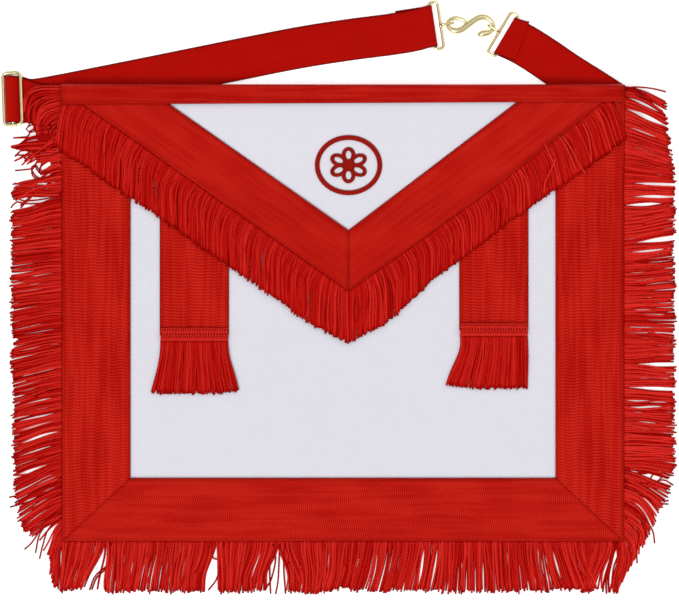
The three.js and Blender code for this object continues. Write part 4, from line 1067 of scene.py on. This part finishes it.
def make_stitches():
    top = RIBBON_LEVEL + RIBBON_THICKNESS
    flap_top = FLAP_RIBBON_LEVEL + RIBBON_THICKNESS
    inner_x, inner_y = BODY_HALF - SIDE_RIBBON, BODY_BOTTOM + BOTTOM_RIBBON
    inset = 1.5
    outer, outer_y = BODY_HALF - inset, BODY_BOTTOM + inset
    inner, inner_low = inner_x + inset, inner_y - inset
    rows = []
    for side in (-1, 1):
        rows.append(stitch_row((side * outer, outer_y), (side * outer, BINDING_BOTTOM), top))
        rows.append(stitch_row((side * inner, inner_low), (side * inner, BINDING_BOTTOM - 60), top))
        for across in (inset, FLAP_RIBBON_WIDTH - inset):
            tip = FLAP_TIP + across / FLAP_COSINE
            reach = (BINDING_BOTTOM - tip) / FLAP_SLOPE[side]
            start, end = FLAP_SHIFT + side * 0.4, FLAP_SHIFT + side * reach
            row = stitch_row((start, tip), (end, BINDING_BOTTOM), flap_top)
            if across == inset:
                row[:, :, 1] -= flap_sag(side, side * (row[:, :, 0] - FLAP_SHIFT))
            rows.append(row)
    rows.append(stitch_row((-outer, outer_y), (outer, outer_y), top))
    rows.append(stitch_row((-inner, inner_low), (inner, inner_low), top))
    binding_top = BINDING_LEVEL + RIBBON_THICKNESS
    skewed = BINDING_BOTTOM + inset - BINDING_SKEW
    rows.append(stitch_row((-BODY_HALF, skewed), (BODY_HALF, BINDING_BOTTOM + inset), binding_top))
    paths = np.concatenate(rows)
    dice = np.random.default_rng(SEEDS["stitches"])
    tones_and_light = np.tile(dice.uniform(0.35, 0.6, (len(paths), 1)), (1, paths.shape[1]))
    radii = np.full(paths.shape[:2], STITCH_RADIUS)
    mesh = strand_mesh("seam_stitches", paths, radii, tones_and_light, dice)
    add_piece("seam_stitches", mesh, CORD, "braid")

    share = np.linspace(0, 1, STRAND_STEPS)
    seams = [
        ((side * BODY_HALF, BODY_BOTTOM), (side * inner_x, inner_y), top) for side in (-1, 1)
    ]
    mitre_top = FLAP_TIP + FLAP_RIBBON_WIDTH / FLAP_COSINE
    seams.append(((FLAP_SHIFT, FLAP_TIP + 0.5), (FLAP_SHIFT, mitre_top), flap_top))
    lines = []
    for start, end, level in seams:
        plan = np.stack([mixed(start[k], end[k], share) for k in (0, 1)], axis=-1)
        lines.append(np.concatenate([plan, (lift(plan[:, 1]) + level - STITCH_SINK)[:, None]], axis=1))
    lines = np.array(lines)
    radii = np.full(lines.shape[:2], STITCH_RADIUS)
    mesh = strand_mesh("mitre_seams", lines, radii, np.full(radii.shape, 0.36), dice)
    add_piece("mitre_seams", mesh, CORD, "braid")


# Tabs and their braid


def make_tab(name):
    low, high = corners(name)
    width, depth = high.x - low.x, high.y - low.y
    cloth_sheet(
        f"{name}_moire", name, TAB_MOIRE, "ribbon", 14, 70,
        lambda u, v: (mixed(low.x - 0.5, high.x + 0.5, u), mixed(low.y, high.y, v)),
        lambda x, y, u, v: (y, u * width), RIBBON_LEVEL, RIBBON_THICKNESS,
    )


BRAID_ROWS = [
    {"at": 0.8, "swing": 1.5, "pitch": 3.4, "size": 0.58, "tone_and_light": 0.62},
    {"at": 0.56, "swing": 1.7, "pitch": 4.1, "size": 0.58, "tone_and_light": 0.55},
    {"at": 0.33, "swing": 0.9, "pitch": 3.1, "size": 0.58, "tone_and_light": 0.45},
    {"at": 0.12, "swing": 0.55, "pitch": 2.3, "size": 0.66, "tone_and_light": 0.9},
]


def make_braid(name):
    """Rows of looped and twisted cord, laid side by side across the tab, on a thin backing."""
    low, high = corners(name)
    width, height = high.x - low.x, high.y - low.y
    level = low.z
    steps = 150
    share = np.linspace(0, 1, steps)
    paths, sizes, tones_and_light = [], [], []
    for index, row in enumerate(BRAID_ROWS):
        for ply in (0.0, 0.5):
            phase = 2 * math.pi * (share * width / row["pitch"] + ply + 0.31 * index)
            paths.append(np.stack([
                mixed(low.x + 0.6, high.x - 0.6, share) + 0.4 * np.sin(2 * phase),
                low.y + height * row["at"] + row["swing"] * np.cos(phase),
                level + 1.0 + 0.4 * np.sin(phase),
            ], axis=-1))
            sizes.append(row["size"])
            # Painted light: each cord is lighter where its loop rises, as light falling on it; one ply is a
            # little lighter than the other.
            tones_and_light.append(row["tone_and_light"] + 0.12 * ply + 0.18 * np.sin(phase))
    dice = np.random.default_rng(SEEDS["braid"])
    radii = np.tile(np.array(sizes)[:, None], (1, steps))
    mesh = strand_mesh(f"{name}_cords", np.array(paths), radii, np.array(tones_and_light), dice)
    add_piece(f"{name}_cords", mesh, CORD, "braid", name)

    def place(u, v):
        return mixed(low.x + 0.4, high.x - 0.4, u), mixed(low.y + 0.2, high.y - 0.2, v), level + 0.4

    backing = grid_mesh(f"{name}_backing", 20, 4, place, lambda u, v: (u * width, v * height))
    piece = add_piece(f"{name}_backing", backing, TAB_MOIRE, "braid")
    thicken(piece, 0.7)


# Belt and clasp: the same route as the frame's, from the same named places

CLASP_HEIGHT = 3.1
RING_WIDTH, RING_LENGTH, RING_WIRE = 9.0, 36.0, 2.1
RING_LEFT_TURN, RING_RIGHT_TURN = math.radians(8.6), math.radians(-30.6)
HOOK_LENGTH, HOOK_TURN, HOOK_SEAT = 33.9, math.radians(-5.9), 4.6
SLIDE_WIDTH, SLIDE_LENGTH, SLIDE_RAIL, SLIDE_THICKNESS = 15.8, 39.8, 2.2, 2.0
SLIDE_TURN = math.radians(2.0)
LOW_LAYER = BELT_THICKNESS / 2
HIGH_LAYER = LOW_LAYER + BELT_LAYER


def heading(angle):
    return Vector((math.cos(angle), math.sin(angle)))


def left_of(vector):
    return Vector((-vector.y, vector.x))


BAR_REACH = (RING_WIDTH - RING_WIRE) / 2
SHORT_ANCHOR = Vector((BODY_HALF - 13.8, BODY_TOP - 11.8))
LONG_ANCHOR = Vector((-BODY_HALF + 38.0, BODY_TOP - 22.0))
SLIDE_CENTRE = Vector((-BODY_HALF - 35.9, BODY_TOP - 10.2))
RIGHT_BAR = SHORT_ANCHOR + heading(math.radians(146.7)) * 84.5
RIGHT_RING = RIGHT_BAR - heading(RING_RIGHT_TURN) * BAR_REACH
HOOK_RIGHT = RIGHT_RING - heading(RING_RIGHT_TURN) * (BAR_REACH + HOOK_SEAT)
HOOK_LEFT = HOOK_RIGHT - heading(HOOK_TURN) * HOOK_LENGTH
LEFT_RING = HOOK_LEFT - heading(RING_LEFT_TURN) * (BAR_REACH + HOOK_SEAT)
LEFT_BAR = LEFT_RING - heading(RING_LEFT_TURN) * BAR_REACH

RAIL_REACH = (SLIDE_WIDTH - SLIDE_RAIL) / 2
RAIL_LOW = SLIDE_THICKNESS / 2 + 0.25
RAIL_HIGH = 2 * BELT_LAYER + SLIDE_THICKNESS / 2 + 0.25
SLIDE_TILT = math.asin((RAIL_HIGH - RAIL_LOW) / (2 * RAIL_REACH))
SLIDE_BAR_HEIGHT = (RAIL_LOW + RAIL_HIGH) / 2
OVER_SLIDE_BAR = SLIDE_BAR_HEIGHT + SLIDE_THICKNESS / 2 + 2 * GAP + BELT_THICKNESS / 2
OVER_RING_BAR = 2 * CLASP_HEIGHT - LOW_LAYER


def run_of(points):
    """Length along a line at each of its points."""
    return np.concatenate([[0], np.cumsum(np.linalg.norm(np.diff(points, axis=0), axis=1))])


def spline(points, count):
    """Evenly spaced points on a smooth line through the given ones, as an array."""
    control = [np.array(point, float) for point in points]
    control = [2 * control[0] - control[1], *control, 2 * control[-1] - control[-2]]
    fine = []
    for a, b, c, d in zip(control, control[1:], control[2:], control[3:]):
        for t in np.linspace(0, 1, 24, endpoint=False):
            square, cube = 2 * a - 5 * b + 4 * c - d, 3 * b - a - 3 * c + d
            fine.append(0.5 * (2 * b + (c - a) * t + square * t**2 + cube * t**3))
    fine.append(control[-2])
    fine = np.array(fine)
    run = run_of(fine)
    wanted = np.linspace(0, run[-1], count)
    return np.stack([np.interp(wanted, run, fine[:, k]) for k in range(fine.shape[1])], axis=-1)


def share_points(start, end, rows):
    span = end - start
    return [start + span * along + left_of(span) * side for along, side in rows]


def ramp(distance, near, far, height_near, height_far):
    return mixed(height_near, height_far, smooth(distance, near, far))


def strap_run(plan, step, height, side, start_across=None, end_across=None):
    """Stations (point, direction across) along a plan line."""
    fine = spline(plan, 400)
    run = run_of(fine)
    length = run[-1]
    count = max(4, int(length / step))
    zone = BELT_WIDTH * 0.6
    stations = []
    for distance in np.linspace(0, length, count):
        near, far = max(distance - 1, 0), min(distance + 1, length)
        behind, place, ahead = (
            np.array([np.interp(where, run, fine[:, k]) for k in (0, 1)])
            for where in (near, distance, far)
        )
        tangent = Vector(ahead - behind).normalized()
        across = left_of(tangent) * side
        if start_across:
            across = across.lerp(start_across, 1 - float(smooth(distance, 1, zone)))
        if end_across:
            across = across.lerp(end_across, 1 - float(smooth(length - distance, 1, zone)))
        across.normalize()
        stations.append((Vector((*place, float(height(distance, length)))), Vector((*across, 0))))
    return stations


def bar_turn(centre, direction, across, top, bottom, reach):
    """Stations of half a turn round a bar, from over it to under it."""
    stations = []
    for angle in np.radians(np.linspace(15, 165, 11)):
        swing = reach * math.sin(angle)
        height = (top + bottom) / 2 + (top - bottom) / 2 * math.cos(angle)
        plan = centre + direction * swing
        stations.append((Vector((plan.x, plan.y, height)), Vector((*across, 0))))
    return stations


def filling_slide(stations):
    """Spreads the webbing a little where it fills the slide's window."""
    spread_rows = []
    for point, across in stations:
        distance = (point.xy - SLIDE_CENTRE).length
        spread_rows.append((point, across * (1 + 0.13 * (1 - float(smooth(distance, 5, 14))))))
    return spread_rows


def make_strap(name, node, stations):
    last = len(stations) - 1
    points = [point for point, _ in stations]
    run = [0.0]
    for a, b in zip(points, points[1:]):
        run.append(run[-1] + (b - a).length)

    def place(u, v):
        point, across = stations[round(u * last)]
        return point + across * (v - 0.5) * BELT_WIDTH

    mesh = grid_mesh(name, last, 10, place, lambda u, v: (run[round(u * last)], v * BELT_WIDTH))
    piece = add_piece(name, mesh, WEBBING, "webbing", node)
    thicken(piece, BELT_THICKNESS)


ANCHOR_PLAN = [(0, 0), (0.3, 0.006), (0.53, 0.014), (0.68, 0.014), (0.83, 0.006), (1, 0)]
LONG_PLAN = [
    (0, 0), (0.05, -0.01), (0.113, -0.0105), (0.203, -0.0085), (0.339, -0.005),
    (0.566, 0.0015), (0.696, 0.004), (0.809, 0.002), (0.933, -0.003), (1, 0),
]
# The strap's loop in the slide: how far from the bar, and how high
SLIDE_LOOP = [
    (0.9, OVER_SLIDE_BAR - 0.05), (1.9, 4.45), (2.9, 3.8), (3.9, 3.05), (4.6, 2.25), (4.65, 1.45),
    (4.0, 0.8), (3.0, LOW_LAYER), (1.5, LOW_LAYER),
]
SHORT_PLAN = [(0, 0), (0.213, -0.003), (0.463, -0.008), (0.633, -0.016), (0.851, -0.018), (1, 0)]
SHORT_END = SHORT_ANCHOR + Vector((4.9, -0.3))


def make_long_belt():
    slide = heading(SLIDE_TURN)
    ring = heading(RING_LEFT_TURN)
    slide_across, ring_across = -left_of(slide), -left_of(ring)
    reach_ring = RING_WIRE / 2 + GAP + BELT_THICKNESS / 2
    fold = 26.0
    anchor = strap_run(
        share_points(LONG_ANCHOR, SLIDE_CENTRE, ANCHOR_PLAN), 1.0,
        lambda d, length: ramp(length - d, 1.3, 5.3, OVER_SLIDE_BAR, HIGH_LAYER), 1, None, slide_across)
    loop_rows = spline(SLIDE_LOOP, 18)
    slide_loop = [
        (Vector((*(SLIDE_CENTRE - slide * r), z)), Vector((*slide_across, 0))) for r, z in loop_rows
    ]

    def height(distance, length):
        ahead = length - distance
        layered = ramp(ahead, fold, fold + 6, HIGH_LAYER, LOW_LAYER)
        return ramp(ahead, 0, 12, OVER_RING_BAR, layered)

    long_run = strap_run(
        share_points(SLIDE_CENTRE, LEFT_BAR, LONG_PLAN), 2.0, height, -1, slide_across, ring_across)
    ring_loop = bar_turn(LEFT_BAR, ring, ring_across, OVER_RING_BAR, LOW_LAYER, reach_ring)
    end = LEFT_BAR - ring * (fold - 2)
    back = strap_run([LEFT_BAR, LEFT_BAR.lerp(end, 0.5), end], 2.0, lambda d, n: LOW_LAYER, 1, ring_across)
    webbing = filling_slide(anchor + slide_loop + long_run + ring_loop + back)
    make_strap("belt_long_webbing", "belt_long", webbing)


def make_short_belt():
    ring = heading(RING_RIGHT_TURN)
    across = -left_of(ring)
    main = strap_run(
        share_points(SHORT_END, RIGHT_BAR, SHORT_PLAN), 1.5,
        lambda d, length: ramp(d, 16, 34, HIGH_LAYER, LOW_LAYER), 1, None, across)
    reach = RING_WIRE / 2 + GAP + BELT_THICKNESS / 2
    loop = bar_turn(RIGHT_BAR, -ring, across, OVER_RING_BAR, LOW_LAYER, reach)[::-1]
    fold, slant = 11.0, 3.0
    end = RIGHT_BAR + ring * fold + left_of(ring) * slant
    back = strap_run(
        [RIGHT_BAR, RIGHT_BAR.lerp(end, 0.5), end], 1.0,
        lambda d, length: ramp(d, 0, 9, OVER_RING_BAR, HIGH_LAYER), -1, across)
    make_strap("belt_short_webbing", "belt_short", main + loop + back)


def loop_tangent(points):
    return unit(np.roll(points, -1, axis=0) - np.roll(points, 1, axis=0))


def rolled_grid(name, points, side, tangent, radii, sides, cyclic, squash=1.0):
    """A grid rolled up round a line of points, with one of its cross directions given."""
    count = len(points)
    rings = count if cyclic else count - 1
    upward = np.cross(side, tangent)

    def place(u, v):
        i = round(u * rings) % count
        angle = 2 * math.pi * v
        ring = side[i] * math.cos(angle) + upward[i] * math.sin(angle) * squash
        return points[i] + ring * radii[i]

    return grid_mesh(name, rings, sides, place, lambda u, v: (u, v), wrap=True)


def wire_mesh(name, points, radii, sides=14, cyclic=False, squash=1.0):
    """A round wire that lies along points. Open ends close to a tip only where the radii given shrink to
    almost nothing.
    """
    points = np.array(points, float)
    tangent = loop_tangent(points) if cyclic else unit(np.gradient(points, axis=0))
    side = unit(np.cross(tangent, (0, 0, 1.0)))
    return rolled_grid(name, points, side, tangent, radii, sides, cyclic, squash)


def capped(radii, share=0.03):
    """Rounds the ends of a list of radii down to almost nothing."""
    count = len(radii)
    where = np.linspace(0, 1, count)
    near = np.minimum(where, 1 - where) / share
    return np.array(radii) * np.sqrt(np.clip(1 - (1 - np.clip(near, 0, 1)) ** 2, 1e-4, 1))


def oblong(width, length, radius, steps=8):
    """Middle line of a rounded oblong loop round the origin, as plan points."""
    x, y = width / 2 - radius, length / 2 - radius
    points = []
    for corner, (sx, sy) in enumerate([(1, 1), (-1, 1), (-1, -1), (1, -1)]):
        for step in range(steps + 1):
            angle = math.pi / 2 * (corner + step / steps)
            points.append((sx * x + radius * math.cos(angle), sy * y + radius * math.sin(angle)))
    return points


def spread(loop, gap=1.2):
    """Adds points on a loop's straight stretches, so that no step is longer than gap."""
    points = []
    for a, b in zip(loop, loop[1:] + loop[:1]):
        a, b = np.array(a), np.array(b)
        pieces = max(1, int(np.linalg.norm(b - a) / gap))
        points += [a + (b - a) * i / pieces for i in range(pieces)]
    return points


def turned_to(points, centre, turn, height):
    cos, sin = math.cos(turn), math.sin(turn)
    return [(centre.x + x * cos - y * sin, centre.y + x * sin + y * cos, height + z) for x, y, z in points]


def make_ring(name, centre, turn, eye_side):
    loop = spread(oblong(RING_WIDTH - RING_WIRE, RING_LENGTH - RING_WIRE, 2.4))
    frame_points = turned_to([(x, y, 0) for x, y in loop], centre, turn, CLASP_HEIGHT)
    ring = wire_mesh("ring", frame_points, [RING_WIRE / 2] * len(frame_points), 14, True)
    eye_wire = 1.5
    eye_length, eye_height = 10.2 + eye_wire / 2, 2 * (CLASP_HEIGHT - GAP / 2)
    eye_span = eye_height - eye_wire
    oval = spread(oblong(eye_length - eye_wire, eye_span, eye_span / 2 - 0.05), 0.7)
    shift = eye_side * (BAR_REACH - eye_wire / 2 + eye_length / 2)
    eye_points = turned_to([(x + shift, 0, y) for x, y in oval], centre, turn, CLASP_HEIGHT)
    eye = vertical_loop("eye", eye_points, left_of(heading(turn)), eye_wire / 2)
    solder = turned_to(
        [(eye_side * BAR_REACH, y, 0) for y in np.linspace(-2.2, 2.2, 12)], centre, turn, CLASP_HEIGHT)
    collar = wire_mesh("collar", solder, capped([RING_WIRE / 2 + 0.35] * 12, 0.3), 14)
    mesh = joined_mesh(f"{name}_polished", [ring, eye, collar])
    add_piece(f"{name}_polished", mesh, BRASS, "pale_brass", name)


def vertical_loop(name, points, across, radius):
    """A closed wire loop that stands on edge, across being its plane's normal."""
    points = np.array(points, float)
    side = np.tile((across.x, across.y, 0.0), (len(points), 1))
    return rolled_grid(name, points, side, loop_tangent(points), [radius] * len(points), 12, True)


def make_slide():
    """Flat cast frame with rounded corners and a centre bar."""
    cos, sin = math.cos(SLIDE_TILT), math.sin(SLIDE_TILT)

    def tilt(points):
        return [(x * cos - z * sin, y, x * sin + z * cos) for x, y, z in points]

    loop = spread(oblong(SLIDE_WIDTH - SLIDE_RAIL, SLIDE_LENGTH - SLIDE_RAIL, 3.6))
    outer = turned_to(tilt([(x, y, 0) for x, y in loop]), SLIDE_CENTRE, SLIDE_TURN, SLIDE_BAR_HEIGHT)
    rim = wire_mesh("rim", outer, [SLIDE_RAIL / 2 + 0.15] * len(outer), 14, True, 0.85)
    half = (SLIDE_LENGTH - SLIDE_RAIL) / 2
    middle = [(0, y, 0) for y in np.linspace(-half, half, 30)]
    bar_line = turned_to(tilt(middle), SLIDE_CENTRE, SLIDE_TURN, SLIDE_BAR_HEIGHT)
    bar = wire_mesh("bar", bar_line, capped([SLIDE_RAIL / 2] * 30, 0.04), 14, False, 0.9)
    mesh = joined_mesh("slide_polished", [rim, bar])
    add_piece("slide_polished", mesh, BRASS, "pale_brass", "slide_buckle")


HOOK_TAIL = [
    (0.432, 0.03, 0.28), (0.36, 0.105, 0.3), (0.25, 0.14, 0.34),
    (0.138, 0.14, 0.34), (0.045, 0.088, 0.3), (0, 0, 0.27),
]
HOOK_BODY = [
    (0, 0, 0.27), (0.067, -0.09, 0.38), (0.189, -0.13, 0.5), (0.305, -0.1, 0.53),
    (0.414, -0.013, 0.53), (0.522, 0.093, 0.53), (0.63, 0.183, 0.52), (0.744, 0.223, 0.5),
    (0.865, 0.205, 0.43), (0.962, 0.121, 0.32), (1, 0, 0.27), (0.925, -0.085, 0.36),
    (0.82, -0.12, 0.56), (0.735, -0.145, 0.5), (0.665, -0.17, 0.16),
]
HOOK_THICKNESS = 4.2


def make_hook():
    """An S with a leaf-shaped head and a tail that curls back to the body."""
    along, side = heading(HOOK_TURN), left_of(heading(HOOK_TURN))
    rods = []
    for rows in (HOOK_TAIL, HOOK_BODY):
        controls = []
        for reach, beside, radius in rows:
            plan = HOOK_LEFT + (along * reach + side * beside) * HOOK_LENGTH
            controls.append((plan.x, plan.y, CLASP_HEIGHT, radius * HOOK_THICKNESS))
        fine = spline(controls, 14 * len(rows))
        rods.append(wire_mesh("rod", fine[:, :3], capped(fine[:, 3], 0.02), 16, False, 0.92))
    mesh = joined_mesh("hook_polished", rods)
    add_piece("hook_polished", mesh, BRASS, "pale_brass", "snake_hook")


# Light, floor and camera


def make_stage():
    form = bmesh.new()
    bmesh.ops.create_grid(form, x_segments=2, y_segments=2, size=3.0)
    floor = in_scene("floor", smooth_mesh(form, "floor"))
    floor.data.materials.append(FLOOR)

    world = bpy.data.worlds.new("studio")
    bpy.context.scene.world = world
    world.use_nodes = True
    tree = world.node_tree
    where = tree.nodes.new("ShaderNodeTexCoord")
    parts = tree.nodes.new("ShaderNodeSeparateXYZ")
    tree.links.new(where.outputs["Generated"], parts.inputs[0])
    sky = tree.nodes.new("ShaderNodeValToRGB")
    sky.color_ramp.elements[0].position = 0.08
    sky.color_ramp.elements[0].color = (0.1, 0.09, 0.07, 1)
    sky.color_ramp.elements[1].position = 0.5
    sky.color_ramp.elements[1].color = (1.0, 0.99, 0.985, 1)
    tree.links.new(parts.outputs["Z"], sky.inputs["Fac"])
    tree.links.new(sky.outputs["Color"], tree.nodes["Background"].inputs["Color"])
    tree.nodes["Background"].inputs["Strength"].default_value = 0.68

    for name, turn, energy, softness in [
        ("key", (math.radians(32), math.radians(-18), 0), 1.35, 25),
        ("fill", (math.radians(-20), math.radians(30), 0), 0.35, 60),
    ]:
        light = bpy.data.lights.new(name, "SUN")
        light.energy = energy
        light.angle = math.radians(softness)
        in_scene(name, light).rotation_euler = turn


def make_camera():
    """Straight above the apron, as far away as a long lens needs for the photograph's frame."""
    photo_width_px, mm_per_px, lens, sensor = 679, 0.723, 150.0, 36.0
    middle_x, middle_y, top = -2.5, 9.4, 3.0
    data = bpy.data.cameras.new("camera")
    data.lens = lens
    data.sensor_width = sensor
    data.clip_end = 20
    camera = in_scene("camera", data)
    distance = photo_width_px * mm_per_px * lens / sensor
    camera.location = (middle_x * MM, middle_y * MM, (distance + top) * MM)
    bpy.context.scene.camera = camera
    bpy.context.scene.view_settings.view_transform = "Standard"


make_camera()
make_stage()
make_body()
make_side_border("border_left", -1)
make_side_border("border_right", 1)
make_bottom_border()
make_binding()
make_flap()
make_flap_ribbon("flap_ribbon_left", -1)
make_flap_ribbon("flap_ribbon_right", 1)
make_emblem()
make_side_fringe("fringe_left", -1)
make_side_fringe("fringe_right", 1)
make_bottom_fringe()
make_flap_fringe("flap_fringe_left", -1)
make_flap_fringe("flap_fringe_right", 1)
for label, side in (("left", -1), ("right", 1)):
    make_tab(f"tab_{label}")
    make_braid(f"tab_braid_{label}")
    make_tab_fringe(f"tab_fringe_{label}", side, f"tab_{label}")
make_stitches()
make_long_belt()
make_short_belt()
make_ring("ring_left", LEFT_RING, RING_LEFT_TURN, 1)
make_ring("ring_right", RIGHT_RING, RING_RIGHT_TURN, -1)
make_slide()
make_hook()
